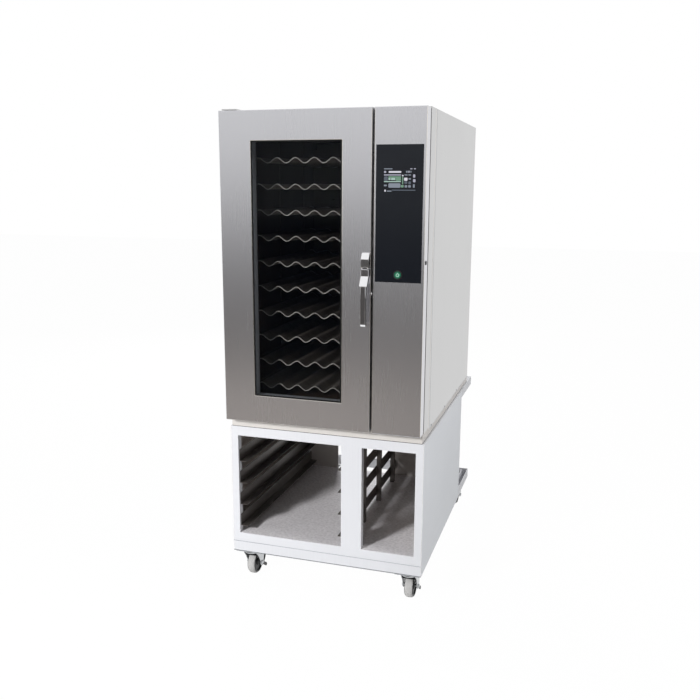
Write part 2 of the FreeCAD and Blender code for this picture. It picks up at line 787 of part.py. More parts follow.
def build_casing():
    """Base, face frame, outer panels, gasket, hinge plates and screws."""
    outer = box(-panel_in, panel_in, stand_y0, rear_y, stand_z1, base_z1)
    hollow = box(-panel_in + frame_sheet, panel_in - frame_sheet, stand_y0 + frame_sheet,
                 rear_y - frame_sheet, stand_z1, base_z1 - frame_sheet)
    save("base_chassis", outer.cut(hollow))

    save("face_frame", *face_strips())

    left_panel = box(-half_oven, -panel_in, panel_front, rear_y, base_z1 - panel_overlap, body_z1)
    save("left_side_panel", left_panel)
    save("right_side_panel", left_panel.translated(Vec(half_oven + panel_in, 0, 0)))
    save("top_panel", box(-panel_in, panel_in, panel_front, rear_y, body_z1 - sheet, body_z1))
    save("rear_panel", rear_panel())

    grow = gasket_offset + gasket_width
    gasket_front = door_rear_y + gasket_clear
    ring = box(cavity_x0 - grow, cavity_x1 + grow, gasket_front, face_y, cavity_z0 - grow, cavity_z1 + grow)
    bore = box(cavity_x0 - gasket_offset, cavity_x1 + gasket_offset, gasket_front, face_y,
               cavity_z0 - gasket_offset, cavity_z1 + gasket_offset)
    save("door_gasket", ring.cut(bore))

    plate_y0 = hinge_y - hinge_plate_nose
    plate_x1 = door_x0 + hinge_plate_width
    low_plate = box(door_x0, plate_x1, plate_y0, face_y, base_z1, base_z1 + bottom_plate_thick)
    low_pin = rod(hinge_pin_r, Vec(hinge_x, hinge_y, base_z1), Z_AXIS, hinge_pin_length)
    high_plate = box(door_x0, plate_x1, plate_y0, plate_y0 + top_plate_back,
                     body_z1, body_z1 + top_plate_thick)
    high_foot = Vec(hinge_x, hinge_y, body_z1 - hinge_pin_length)
    high_pin = rod(hinge_pin_r, high_foot, Z_AXIS, hinge_pin_length)
    save("hinge_plates", low_plate.fuse(low_pin), high_plate.fuse(high_pin))

    heads = []
    screw_z = base_z1 - panel_overlap / 2
    for depth in side_screw_depths:
        for side in (-1, 1):
            heads.append(rod(screw_head_r, Vec(side * half_oven, front_y + depth, screw_z), X_AXIS * side,
                             screw_head_thick))
    fascia_screw = Vec(half_oven, front_y + fascia_screw_depth, door_z0 + fascia_screw_height)
    heads.append(rod(screw_head_r, fascia_screw, X_AXIS, screw_head_thick))
    save("panel_screws", *heads)

    gland = rod(gland_r, Vec(gland_x, rear_y - gland_length / 2, gland_z), Y_AXIS, gland_length)
    nut = rod(gland_flange_r, Vec(gland_x, rear_y, gland_z), Y_AXIS, gland_flange_thick)
    bore = rod(gland_bore_r, Vec(gland_x, rear_y - gland_length / 2, gland_z), Y_AXIS, gland_length)
    save("cable_gland", gland.fuse(nut).cut(bore))


def face_strips():
    """Return the welded strips round the cavity's mouth and their returns along the casing."""
    front = (face_y, face_y + sheet)
    returns = (face_y + sheet, face_y + return_depth)
    return [box(-half_oven, cavity_x0, *front, base_z1, body_z1),
            box(cavity_x1, half_oven, *front, base_z1, body_z1),
            box(cavity_x0, cavity_x1, *front, base_z1, cavity_z0),
            box(cavity_x0, cavity_x1, *front, cavity_z1, body_z1),
            box(-half_oven, -panel_in, *returns, base_z1, body_z1),
            box(panel_in, half_oven, *returns, base_z1, body_z1),
            box(-panel_in, panel_in, *returns, body_z1 - sheet, body_z1)]


def rear_panel():
    """Return the back sheet with its louvres and pipe holes."""
    y0 = rear_y - sheet
    panel = box(-panel_in, panel_in, y0, rear_y, base_z1, body_z1 - sheet)
    tools = [rod(vent_r + pipe_clear, Vec(vent_x, y0, vent_z), Y_AXIS, sheet),
             rod(water_stub_r + pipe_clear, Vec(steam_x, y0, steam_z), Y_AXIS, sheet),
             rod(gland_r + pin_clear, Vec(gland_x, y0, gland_z), Y_AXIS, sheet)]
    for level in fan_levels:
        for row in range(louvre_rows):
            z = level + (row - (louvre_rows - 1) / 2) * louvre_row_pitch
            for column in range(louvre_columns):
                x = cavity_mid_x + (column - (louvre_columns - 1) / 2) * louvre_column_pitch
                tools.append(box(x - louvre_length / 2, x + louvre_length / 2, y0, rear_y,
                                 z - louvre_height / 2, z + louvre_height / 2))
    for row in range(louvre_rows):
        z = base_z1 + louvre_inset + gland_above_base + row * louvre_row_pitch
        tools.append(box(gland_x - louvre_length / 2, gland_x + louvre_length / 2, y0, rear_y,
                         z, z + louvre_height))
    return cut(panel, tools)


def build_controls():
    """Fascia, overlay, screen, board, power switch and contactors."""
    outer = box(fascia_x0, fascia_x1, front_y, door_rear_y, door_z0, door_z1)
    front_edges = [e for e in outer.Edges if all(abs(v.Y - front_y) < sheet for v in e.Vertexes)]
    shell = outer.makeFillet(edge_round, front_edges)
    hollow = box(fascia_x0 + sheet, fascia_x1 - sheet, front_y + sheet, door_rear_y,
                 door_z0 + sheet, door_z1 - sheet)
    posts = [rod(standoff_post_r, Vec(x, front_y + sheet, z), Y_AXIS, face_y - front_y - sheet)
             for x in (fascia_x0 + standoff_inset, fascia_x1 - standoff_inset)
             for z in (door_z0 + standoff_inset, door_z1 - standoff_inset)]
    slot = screen_box(screen_clear, front_y, front_y + sheet)
    hole = rod(switch_r + pin_clear, Vec(overlay_mid_x, front_y, button_z), Y_AXIS, sheet)
    save("control_fascia", union([cut(shell, [hollow, slot, hole])] + posts))

    overlay = box(overlay_x0, overlay_x0 + overlay_width, overlay_front, front_y,
                  overlay_z0, overlay_z0 + overlay_height)
    overlay_slot = screen_box(screen_clear, overlay_front, front_y)
    overlay_hole = hole.translated(Vec(0, -overlay_thick, 0))
    save("control_overlay", cut(overlay, [overlay_slot, overlay_hole]))

    screen_y0 = overlay_front - screen_proud
    screen_y1 = screen_y0 + screen_depth
    save("touch_screen", screen_box(0, screen_y0, screen_y1))
    board_z0 = screen_z0 + screen_height / 2 - board_height / 2
    save("control_board", box(overlay_mid_x - board_width / 2, overlay_mid_x + board_width / 2,
                              screen_y1, screen_y1 + board_thick, board_z0, board_z0 + board_height))

    bezel_y0 = overlay_front - bezel_thick
    barrel = rod(switch_r, Vec(overlay_mid_x, bezel_y0, button_z), Y_AXIS, switch_depth)
    bezel = rod(switch_r + bezel_width, Vec(overlay_mid_x, bezel_y0, button_z), Y_AXIS, bezel_thick)
    well = rod(button_r + button_clear, Vec(overlay_mid_x, bezel_y0, button_z), Y_AXIS,
               switch_depth - switch_wall)
    save("power_switch_body", barrel.fuse(bezel).cut(well))
    cap = rod(button_r, Vec(overlay_mid_x, bezel_y0 - button_proud, button_z), Y_AXIS, button_length)
    save("power_button", cap)

    contactors = []
    for i in range(contactor_count):
        y0 = face_y + body_depth / 2 + i * contactor_width
        z0 = base_z1 + contactor_height_above_base
        contactors.append(box(wall_x1, wall_x1 + contactor_depth, y0, y0 + contactor_width,
                              z0, z0 + contactor_height))
    save("contactors", *contactors)

    keeper_y0 = bolt_y - keeper_width / 2
    keeper_z0 = bolt_z - keeper_height / 2
    save("latch_keeper", box(fascia_x0 - sheet, fascia_x0, keeper_y0, keeper_y0 + keeper_width,
                             keeper_z0, keeper_z0 + keeper_height))


def screen_box(grow, y0, y1):
    """Return the screen's block, or a hole larger by a clearance."""
    return box(screen_x0 - grow, screen_x0 + screen_width + grow, y0, y1,
               screen_z0 - grow, screen_z0 + screen_height + grow)


def build_door():
    """Shell, inner panel, glazing, hinge blocks, handle and latch."""
    outer = box(door_x0, door_x1, front_y, door_rear_y, door_z0, door_z1)
    front_edges = [e for e in outer.Edges if all(abs(v.Y - front_y) < sheet for v in e.Vertexes)]
    shell = outer.makeFillet(edge_round, front_edges)
    hollow = box(door_x0 + sheet, door_x1 - sheet, front_y + sheet, door_rear_y,
                 door_z0 + sheet, door_z1 - sheet)
    window = box(window_x0, window_x1, front_y, door_rear_y, window_z0, window_z1)
    pin_hole = rod(hinge_pin_r + hole_clear, Vec(hinge_x, hinge_y, door_z0), Z_AXIS, door_z1 - door_z0)
    bolt_hole = rod(bolt_r + pin_clear, Vec(door_x1 - sheet, bolt_y, bolt_z), X_AXIS, sheet)
    save("door_shell", cut(shell, [hollow, window, pin_hole, bolt_hole]))

    panel_y0 = door_rear_y - sheet
    panel = box(door_x0 + sheet, door_x1 - sheet, panel_y0, door_rear_y, door_z0 + sheet, door_z1 - sheet)
    save("door_inner_panel", panel.cut(window))

    glass_y = front_y + sheet
    save("outer_glass", window_pane(glass_overlap, glass_y, glass_y + glass_thick))
    inner_y = panel_y0 - glass_thick
    save("inner_glass", window_pane(glass_overlap, inner_y, panel_y0))
    save("window_spacer", window_ring(spacer_wall, 0, glass_y + glass_thick, inner_y))
    save("window_seal", window_ring(0, window_seal_width, glass_y - window_seal_thick, glass_y))

    block_x0 = door_x0 + sheet
    block_y0 = hinge_y - hinge_inset
    low_z = door_z0 + sheet
    high_z = door_z1 - sheet - hinge_block_height
    bore_length = hinge_pin_length + pipe_clear
    bore = rod(hinge_pin_r + pin_clear, Vec(hinge_x, hinge_y, base_z1), Z_AXIS, bore_length)
    high_bore = bore.translated(Vec(0, 0, body_z1 - base_z1 - bore_length))
    blocks = [box(block_x0, block_x0 + hinge_block_width, block_y0, panel_y0, z, z + hinge_block_height)
              for z in (low_z, high_z)]
    save("hinge_blocks", blocks[0].cut(bore), blocks[1].cut(high_bore))

    save("handle_housing", handle_housing())
    save("handle_lever", handle_lever())
    bolt_x0 = door_x1 + bolt_reach - bolt_r - bolt_length
    shank = rod(bolt_r, Vec(bolt_x0, bolt_y, bolt_z), X_AXIS, bolt_length)
    nose = Part.makeSphere(bolt_r, Vec(bolt_x0 + bolt_length, bolt_y, bolt_z))
    save("latch_bolt", union([shank, nose]))


def handle_housing():
    """Return the housing on the door's face, with the lever's pin across its lower end."""
    x0 = handle_x1 - handle_width
    top = pivot_z + housing_height
    outline = [(front_y, pivot_z), (front_y, top), (front_y - housing_facet_back, top),
               (housing_front, top - housing_facet), (housing_front, pivot_z)]
    body = prism_x(outline, x0, handle_x1)
    barrel = rod(pivot_r, Vec(x0, pivot_y, pivot_z), X_AXIS, handle_width)
    gap_half = knuckle_share / 2
    slot_r = pivot_r + knuckle_gap
    mid0 = handle_mid_x - gap_half
    slot = union([rod(slot_r, Vec(mid0, pivot_y, pivot_z), X_AXIS, knuckle_share),
                  box(mid0, mid0 + knuckle_share, housing_front - knuckle_gap, pivot_y + slot_r,
                      pivot_z - slot_r, pivot_z)])
    pin = rod(pivot_pin_r, Vec(x0, pivot_y, pivot_z), X_AXIS, handle_width)
    return union([body.fuse(barrel).cut(slot), pin])


def handle_lever():
    """Return the lever: a knuckle on the pin, a head, a slanted neck and a hanging grip."""
    x0 = handle_x1 - handle_width
    back = housing_front + lever_thick
    head_z1 = pivot_z - pivot_r - 2 * knuckle_gap
    head_z0 = head_z1 - lever_head
    grip_z1 = head_z0 - lever_slant
    grip_front = front_y - handle_reach
    grip_back = grip_front + grip_thick
    grip_z0 = grip_z1 - grip_length
    head = box(x0, handle_x1, housing_front, back, head_z0, head_z1)
    slant_outline = [(housing_front, head_z0), (back, head_z0), (grip_back, grip_z1), (grip_front, grip_z1)]
    slant = prism_x(slant_outline, x0, handle_x1)
    grip_x0 = handle_mid_x - grip_width / 2
    grip = box(grip_x0, grip_x0 + grip_width, grip_front, grip_back, grip_z0, grip_z1)
    knuckle_x0 = handle_mid_x - knuckle_share / 2 + knuckle_gap
    knuckle_length = knuckle_share - 2 * knuckle_gap
    knuckle = rod(pivot_r, Vec(knuckle_x0, pivot_y, pivot_z), X_AXIS, knuckle_length)
    neck = box(knuckle_x0, knuckle_x0 + knuckle_length, housing_front, pivot_y + pivot_r, head_z1, pivot_z)
    bore = rod(pivot_pin_r + pin_clear, Vec(x0, pivot_y, pivot_z), X_AXIS, handle_width)
    return union([head, slant, grip, knuckle, neck]).cut(bore)


os.makedirs("parts", exist_ok=True)
build_stand()
build_runners()
build_castors()
build_casing()
build_cavity()
build_hot_air()
build_controls()
build_door()
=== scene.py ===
"""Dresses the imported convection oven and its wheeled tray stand, and sets up the studio."""
import logging
import math
from dataclasses import dataclass
from enum import Enum
from typing import Any, ClassVar, Sequence

import bmesh
import bpy
from bmesh.types import BMesh, BMFace
from bpy.types import Material, Mesh, Node, NodeSocket, NodeTree, Object
from mathutils import Matrix, Vector


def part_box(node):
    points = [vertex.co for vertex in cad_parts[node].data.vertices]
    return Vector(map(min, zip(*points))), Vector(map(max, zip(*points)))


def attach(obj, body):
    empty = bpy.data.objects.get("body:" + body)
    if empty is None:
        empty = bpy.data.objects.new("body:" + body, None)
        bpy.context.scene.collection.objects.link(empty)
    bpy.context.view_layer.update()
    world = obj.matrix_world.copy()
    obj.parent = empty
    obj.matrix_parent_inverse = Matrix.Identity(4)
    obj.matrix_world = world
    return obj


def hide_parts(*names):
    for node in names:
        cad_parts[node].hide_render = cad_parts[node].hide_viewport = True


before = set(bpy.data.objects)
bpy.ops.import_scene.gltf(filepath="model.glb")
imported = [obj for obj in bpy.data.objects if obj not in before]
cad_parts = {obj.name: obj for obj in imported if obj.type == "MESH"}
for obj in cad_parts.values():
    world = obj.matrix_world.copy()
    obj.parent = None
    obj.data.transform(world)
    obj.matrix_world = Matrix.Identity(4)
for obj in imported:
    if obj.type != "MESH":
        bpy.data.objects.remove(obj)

LOG = logging.getLogger("oven")
MM = 0.001
ROOT = "oven_body"
Pair = tuple[float, float]
Point = tuple[float, float, float]
ORIGIN: Point = (0.0, 0.0, 0.0)
UP: Point = (0.0, 0.0, 1.0)
DOWN: Point = (0.0, 0.0, -1.0)
# Sockets of a mix node that mixes colours: the two that go in, and the one that comes out.
COLOUR_A, COLOUR_B, COLOUR_OUT = 6, 7, 2
# First and last corner of a nut or bolt head in degrees, and the steps between them.
HEXAGON = (0, 300, 5)


def linear(hex_colour: str) -> tuple[float, float, float, float]:
    """Turn an sRGB hex colour into linear light.

    Args:
        hex_colour: Six hex digits with a leading #.

    Returns:
        Linear red, green and blue, and an alpha of 1.
    """
    values = [int(hex_colour[i:i + 2], 16) / 255 for i in (1, 3, 5)]
    red, green, blue = (v / 12.92 if v <= 0.04045 else ((v + 0.055) / 1.055) ** 2.4 for v in values)
    return red, green, blue, 1.0


def feed(tree: NodeTree, node: Node, inputs: dict[Any, Any]) -> None:
    """Set or link the sockets of a node.

    Args:
        tree: Node tree that holds the node.
        node: The node.
        inputs: Values, sockets to link, or nodes to link by their first output, by socket name or number.
    """
    for key, value in inputs.items():
        if isinstance(value, Node):
            value = value.outputs[0]
        if isinstance(value, NodeSocket):
            tree.links.new(value, node.inputs[key])
        else:
            node.inputs[key].default_value = value


def add_node(tree: NodeTree, kind: str, settings: dict[str, Any] | None = None,
             inputs: dict[Any, Any] | None = None) -> Node:
    """Add a node with its settings and what goes into its sockets.

    Args:
        tree: Node tree that takes the node.
        kind: Blender's type name of the node.
        settings: Attributes of the node.
        inputs: What goes into its sockets, as feed takes it.

    Returns:
        The new node.
    """
    node = tree.nodes.new(kind)
    for name, value in (settings or {}).items():
        setattr(node, name, value)
    feed(tree, node, inputs or {})
    return node


class Axis(Enum):
    """The frame's axes, also for the way in which a sheet was brushed."""

    ACROSS = 0
    DEPTH = 1
    UPRIGHT = 2


@dataclass(frozen=True)
class Finish:
    """What every finish has: a name and a principled shader."""

    name: str

    def start(self, **values: Any) -> tuple[Material, NodeTree, Node]:
        """Open a material with a principled shader.

        Args:
            values: Shader socket values, with underscores for spaces.

        Returns:
            The material, its tree and the shader.
        """
        material = bpy.data.materials.new(self.name)
        material.use_nodes = True
        tree = material.node_tree
        shader = tree.nodes["Principled BSDF"]
        feed(tree, shader, {key.replace("_", " "): value for key, value in values.items()})
        return material, tree, shader

    def material(self) -> Material:
        """Build the material; each finish has its own."""
        raise NotImplementedError


@dataclass(frozen=True)
class BrushedSteel(Finish):
    """Stainless sheet, belt ground: long fine scratches that smear reflections along the grain."""

    light: str = "#D3D3D5"
    dark: str = "#C3C3C6"
    roughness: float = 0.3
    grain: Axis = Axis.UPRIGHT
    # Real scratches are 0.1 mm wide; they are drawn coarser, so that they show.
    scratch_mm: float = 2.4
    length_mm: float = 420.0
    deep_mm: float = 0.5
    cloud_mm: float = 260.0
    cloud_share: float = 0.45
    relief: float = 0.05
    metallic: float = 1.0
    spread: float = 0.05

    def material(self) -> Material:
        """Build the steel from streaks along the grain and soft clouds.

        Returns:
            The material.
        """
        material, tree, shader = self.start(Metallic=self.metallic)
        place = add_node(tree, "ShaderNodeTexCoord").outputs["Object"]
        scale = [1 / (self.scratch_mm * MM)] * 3
        scale[self.grain.value] = 1 / (self.length_mm * MM)
        along = add_node(tree, "ShaderNodeMapping", inputs={"Vector": place, "Scale": scale})
        scratch = add_node(tree, "ShaderNodeTexNoise", inputs={
            "Vector": along, "Scale": 1.0, "Detail": 4.0, "Roughness": 0.65})
        cloud = add_node(tree, "ShaderNodeTexNoise", inputs={
            "Vector": place, "Scale": 1 / (self.cloud_mm * MM), "Detail": 3.0})
        mixed = add_node(tree, "ShaderNodeMath", {"operation": "MULTIPLY_ADD"}, {
            0: cloud, 1: self.cloud_share, 2: scratch})
        share = add_node(tree, "ShaderNodeMapRange", inputs={
            "Value": mixed, "From Min": 0.45, "From Max": 1.0})
        rough = add_node(tree, "ShaderNodeMapRange", inputs={
            "Value": mixed, "From Min": 0.4, "From Max": 1.05,
            "To Min": self.roughness + self.spread, "To Max": self.roughness - self.spread})
        bump = add_node(tree, "ShaderNodeBump", inputs={
            "Strength": self.relief, "Distance": self.deep_mm * MM, "Height": scratch})
        feed(tree, shader, {"Base Color": self.tone(tree, place, share), "Roughness": rough,
                            "Normal": bump})
        return material

    def tone(self, tree: NodeTree, place: NodeSocket, share: Node) -> NodeSocket:
        """Mix the light and dark streaks by a node that says how light each is."""
        return add_node(tree, "ShaderNodeMix", {"data_type": "RGBA"}, {
            0: share, COLOUR_A: linear(self.dark), COLOUR_B: linear(self.light)}).outputs[COLOUR_OUT]


@dataclass(frozen=True)
class TwoToneSheet(BrushedSteel):
    """Stainless sheet, satin ground outside, and inside a second tone painted for the light that falls there,
    faintly mottled.
    """

    # The inner tones are painted: they stand for the light inside the stand.
    inner: str = "#D8CFC7"
    inner_dark: str = "#C8BFB7"
    # The spots are a few millimetres wide; they are drawn coarser, so that they show.
    mottle_mm: float = 11.0
    axis: Axis = Axis.ACROSS
    outer_mm: float = 405.2

    def tone(self, tree: NodeTree, place: NodeSocket, share: Node) -> NodeSocket:
        """Show the ground streaks beyond a distance from the middle, and within it the second tone, which is
        painted light.

        Args:
            tree: The material's tree.
            place: Object coordinates.
            share: Node that says how light the streak is.

        Returns:
            The colour.
        """
        outer = super().tone(tree, place, share)
        spots = add_node(tree, "ShaderNodeTexNoise", inputs={
            "Vector": place, "Scale": 1 / (self.mottle_mm * MM), "Detail": 3.0, "Roughness": 0.6})
        worn = add_node(tree, "ShaderNodeMapRange", inputs={
            "Value": spots, "From Min": 0.35, "From Max": 0.65})
        inner = add_node(tree, "ShaderNodeMix", {"data_type": "RGBA"}, {
            0: worn, COLOUR_A: linear(self.inner_dark), COLOUR_B: linear(self.inner)})
        split = add_node(tree, "ShaderNodeSeparateXYZ", inputs={0: place})
        away = add_node(tree, "ShaderNodeMath", {"operation": "ABSOLUTE"}, {
            0: split.outputs[self.axis.value]})
        outside = add_node(tree, "ShaderNodeMath", {"operation": "GREATER_THAN"}, {
            0: away, 1: self.outer_mm * MM})
        return add_node(tree, "ShaderNodeMix", {"data_type": "RGBA"}, {
            0: outside, COLOUR_A: inner.outputs[COLOUR_OUT], COLOUR_B: outer}).outputs[COLOUR_OUT]


@dataclass(frozen=True)
class Speckled(Finish):
    """Any fine-grained surface: moulded plastic, rubber, enamel, cast metal, plating or wool."""

    light: str = "#202020"
    dark: str = "#181818"
    roughness: float = 0.5
    metallic: float = 0.0
    grain_mm: float = 2.5
    relief: float = 0.1
    specular: float = 0.5
    deep_mm: float = 0.4
    spread: float = 0.06
    smoothest: float = 0.02

    def material(self) -> Material:
        """Build the surface from one noise that drives colour, gloss and a slight relief.

        Returns:
            The material.
        """
        material, tree, shader = self.start(Metallic=self.metallic, Specular_IOR_Level=self.specular)
        place = add_node(tree, "ShaderNodeTexCoord").outputs["Object"]
        noise = add_node(tree, "ShaderNodeTexNoise", inputs={
            "Vector": place, "Scale": 1 / (self.grain_mm * MM), "Detail": 4.0})
        colour = add_node(tree, "ShaderNodeMix", {"data_type": "RGBA"}, {
            0: noise, COLOUR_A: linear(self.dark), COLOUR_B: linear(self.light)})
        rough = add_node(tree, "ShaderNodeMapRange", inputs={
            "Value": noise, "To Min": self.roughness + self.spread,
            "To Max": max(self.roughness - self.spread, self.smoothest)})
        bump = add_node(tree, "ShaderNodeBump", inputs={
            "Strength": self.relief, "Distance": self.deep_mm * MM, "Height": noise})
        feed(tree, shader, {"Base Color": colour.outputs[COLOUR_OUT], "Roughness": rough, "Normal": bump})
        return material


@dataclass(frozen=True)
class OvenGlass(Finish):
    """Tinted float glass: see-through, smooth, with a faint film of grease that dulls it in places."""

    tint: str = "#06080C"
    alpha: float = 0.16
    specular: float = 0.2
    film_mm: float = 90.0
    # Roughness of the clean glass and of the film.
    film: Pair = (0.01, 0.09)

    def material(self) -> Material:
        """Build the pane; its alpha lets light and sight through.

        Returns:
            The material.
        """
        material, tree, shader = self.start(Base_Color=linear(self.tint), Alpha=self.alpha,
                                            Specular_IOR_Level=self.specular)
        place = add_node(tree, "ShaderNodeTexCoord").outputs["Object"]
        film = add_node(tree, "ShaderNodeTexNoise", inputs={
            "Vector": place, "Scale": 1 / (self.film_mm * MM), "Detail": 5.0})
        rough = add_node(tree, "ShaderNodeMapRange", inputs={
            "Value": film, "To Min": self.film[0], "To Max": self.film[1]})
        feed(tree, shader, {"Roughness": rough})
        return material


@dataclass(frozen=True)
class DisplayGlow(Finish):
    """Lit display behind dark glass: every tile glows in the colour that its faces carry."""

    glass: str = "#0C0E12"
    roughness: float = 0.12
    strength: float = 0.9

    def material(self) -> Material:
        """Build the display from the mesh's own colour attribute.

        Returns:
            The material.
        """
        material, tree, shader = self.start(Base_Color=linear(self.glass), Roughness=self.roughness,
                                            Emission_Strength=self.strength)
        tile = add_node(tree, "ShaderNodeVertexColor", {"layer_name": "tile"})
        feed(tree, shader, {"Emission Color": tile})
        return material


# After its name a finish has a light and a dark colour and its roughness. Brushed steel then has its grain,
# and a speckled finish its share of metal, the size of its grain in mm, its relief and its specular level.
FINISHES: tuple[Finish, ...] = (
    # Fine upright brushing: a soft mirror that smears what stands in front into bands of light and dark.
    BrushedSteel("brushed_stainless_door", "#D0D0D4", "#CECED2", 0.27, relief=0.004, spread=0.008),
    # The same sheet left duller: an even pale grey with hardly a reflection.
    BrushedSteel("brushed_stainless_casing", "#CDCDCD", "#C9C9C9", 0.36, relief=0.008, spread=0.015),
    # Satin sheet, matt enough to look almost painted, with a faint cold sheen.
    BrushedSteel("satin_stainless_stand", "#D5D6DA", "#D0D1D5", 0.42, relief=0.02, metallic=0.12),
    # The same satin with a warm cast from the cooking above it.
    BrushedSteel("satin_stainless_base", "#CCC8C4", "#C4C0BC", 0.42, relief=0.02, metallic=0.12),
    # Satin outside; the inner face is painted in a warmer tone for the light that falls inside the stand.
    TwoToneSheet("satin_stainless_stand_side", "#DEE1E6", "#DADDE2", 0.42, Axis.DEPTH, relief=0.02,
                 metallic=0.12),
    # The shelf's edge is satin; its top is painted near white for a sheen, and faintly mottled so that it
    # looks chalky.
    TwoToneSheet("satin_stainless_shelf", "#D5D6DA", "#D0D1D5", 0.42, Axis.ACROSS, relief=0.02,
                 metallic=0.12, inner="#FAF7FA", inner_dark="#DFDCDF", axis=Axis.DEPTH, outer_mm=542.5),
    # Mill finish: grey and warm, with long drawn streaks.
    BrushedSteel("mill_stainless_sheet", "#CBC6C2", "#BEB9B5", 0.4, Axis.DEPTH, length_mm=160.0,
                 metallic=0.15),
    # The same, folded into angles and painted darker for the shade between the stand's sheets.
    BrushedSteel("mill_stainless_runner", "#6B6663", "#58534F", 0.36, Axis.DEPTH, length_mm=160.0,
                 metallic=0.6),
    # Oven steel painted dark brown-grey for the shade inside the closed oven, without a clear reflection.
    BrushedSteel("painted_shade_stainless", "#7A6A5E", "#5C4E44", 0.45, metallic=0.35),
    # Hot-dip zinc on sheet: dull cold grey with short flecks, drawn at the size of real spangle.
    BrushedSteel("galvanised_sheet", "#A5A8AA", "#8F9294", 0.5, Axis.ACROSS, 12.0, 30.0),
    # Buffed chrome plate: a clear mirror that turns white or black with what it faces.
    Speckled("polished_chrome", "#F0F0F2", "#EAEAEC", 0.09, 1.0, 20.0, 0.01),
    # Buffed stainless edge: a thin bright line, a little softer than chrome.
    Speckled("polished_stainless_trim", "#E8E4DE", "#DCD8D2", 0.16, 1.0, 14.0, 0.02),
    # Zinc plate with a clear passivation: bright, cold and slightly cloudy.
    Speckled("bright_zinc_plate", "#CBCDCF", "#B0B2B4", 0.25, 1.0, 6.0, 0.05),
    # A dark grey bead that paints the shadow line along the stand's lower edge, duller than the face.
    Speckled("shadow_line_grey", "#7E8186", "#6E7176", 0.5, 0.3, 4.0, 0.1),
    # Stove enamel: deep black under a soft even gloss.
    Speckled("black_enamel", "#17171A", "#101012", 0.38, 0.0, 3.0, 0.08, 0.3),
    # Moulded rubber: matt pale grey with a fine mould grain, drawn coarser than its real 0.2 mm.
    Speckled("moulded_grey_rubber", "#BBBAB9", "#ABAAA9", 0.7, 0.0, 2.0, 0.2, 0.3),
    # Tooled sealant: a matt cold-grey line.
    Speckled("grey_joint_sealant", "#A9ACB2", "#9A9DA3", 0.6, 0.0, 3.0, 0.1),
    # Extruded silicone: matt black that swallows light.
    Speckled("black_silicone", "#0D0D0E", "#080809", 0.6, 0.0, 3.0, 0.1, 0.3),
    # Acrylic printed on its back: smooth deep black with a weak clear reflection.
    Speckled("black_acrylic", "#12151A", "#101218", 0.2, 0.0, 40.0, 0.01, 0.22),
    # Glass-filled nylon: near black, with the eroded grain of its mould drawn coarser than real.
    Speckled("dark_moulded_nylon", "#1B1B1C", "#141415", 0.55, 0.0, 2.0, 0.15),
    # Polycarbonate dyed through: full green with a smooth gloss.
    Speckled("green_polycarbonate", "#17654A", "#11543C", 0.28, 0.0, 8.0, 0.03),
    # Screen-printed ink: a flat pale mark, slightly raised.
    Speckled("pale_screen_ink", "#BFE6D2", "#AFD8C4", 0.4, 0.0, 4.0, 0.02),
    # Cured solder mask over copper: dark green with a soft gloss.
    Speckled("green_solder_mask", "#1C5A36", "#164A2C", 0.4, 0.0, 3.0, 0.05),
    # Sand-cast aluminium: dull grey with a pebbly skin of about 2 mm.
    Speckled("cast_aluminium", "#9A9B9D", "#85868A", 0.5, 1.0, 2.0, 0.2),
    # Turned brass: warm yellow with a broad highlight.
    Speckled("machined_brass", "#C9A24B", "#B68D38", 0.3, 1.0, 5.0, 0.05),
    # Pressed mineral wool: dead matt and straw-coloured, its tufts about 5 mm.
    Speckled("mineral_wool", "#CDBB8C", "#A9986B", 0.95, 0.0, 5.0, 0.6),
    # Aluminium sheet baked many times: brown-grey patches on a dull metal.
    Speckled("seasoned_aluminium", "#BDB6AF", "#8A827A", 0.5, 0.35, 26.0, 0.04),
    # Rolled sheet edge painted near white as a highlight: the palest line inside the oven.
    Speckled("rolled_aluminium_wire", "#F2EFEA", "#E2DFDA", 0.35, 0.15, 10.0, 0.03),
    # Anodised bar: even, pale and silky.
    Speckled("anodised_spacer_bar", "#ACB0B6", "#A0A4AA", 0.4, 0.2, 12.0, 0.02),
    # Dark-tinted float glass: black from afar, clear enough to show what stands close behind.
    OvenGlass("tinted_oven_glass"),
    # Backlit display: gives its own even light, brightest in the pale tiles.
    DisplayGlow("backlit_display"),
)


def arc(centre: Sequence[float], radius: float, start: float, end: float, steps: int) -> list[Pair]:
    """Return the points on a circle from one angle to another in even steps, both in degrees."""
    turns = [math.radians(start + (end - start) * i / steps) for i in range(steps + 1)]
    return [(centre[0] + radius * math.cos(a), centre[1] + radius * math.sin(a)) for a in turns]


def rounded(low: Pair, high: Pair, radius: float, steps: int) -> list[Pair]:
    """Return the outline of a rectangle with round corners.

    Args:
        low: Its lowest corner.
        high: Its highest corner.
        radius: Radius of its corners.
        steps: Steps round each corner.

    Returns:
        The points, from the highest corner on.
    """
    a0, b0, a1, b1 = low[0] + radius, low[1] + radius, high[0] - radius, high[1] - radius
    outline: list[Pair] = []
    for turn, corner in enumerate(((a1, b1), (a0, b1), (a0, b0), (a1, b0))):
        outline += arc(corner, radius, 90 * turn, 90 * turn + 90, steps)
    return outline


def rod(radius: float, start: float, end: float) -> list[Pair]:
    """Return the profile of a plain round bar between two places on its axis."""
    return [(0.0, start), (radius, start), (radius, end), (0.0, end)]


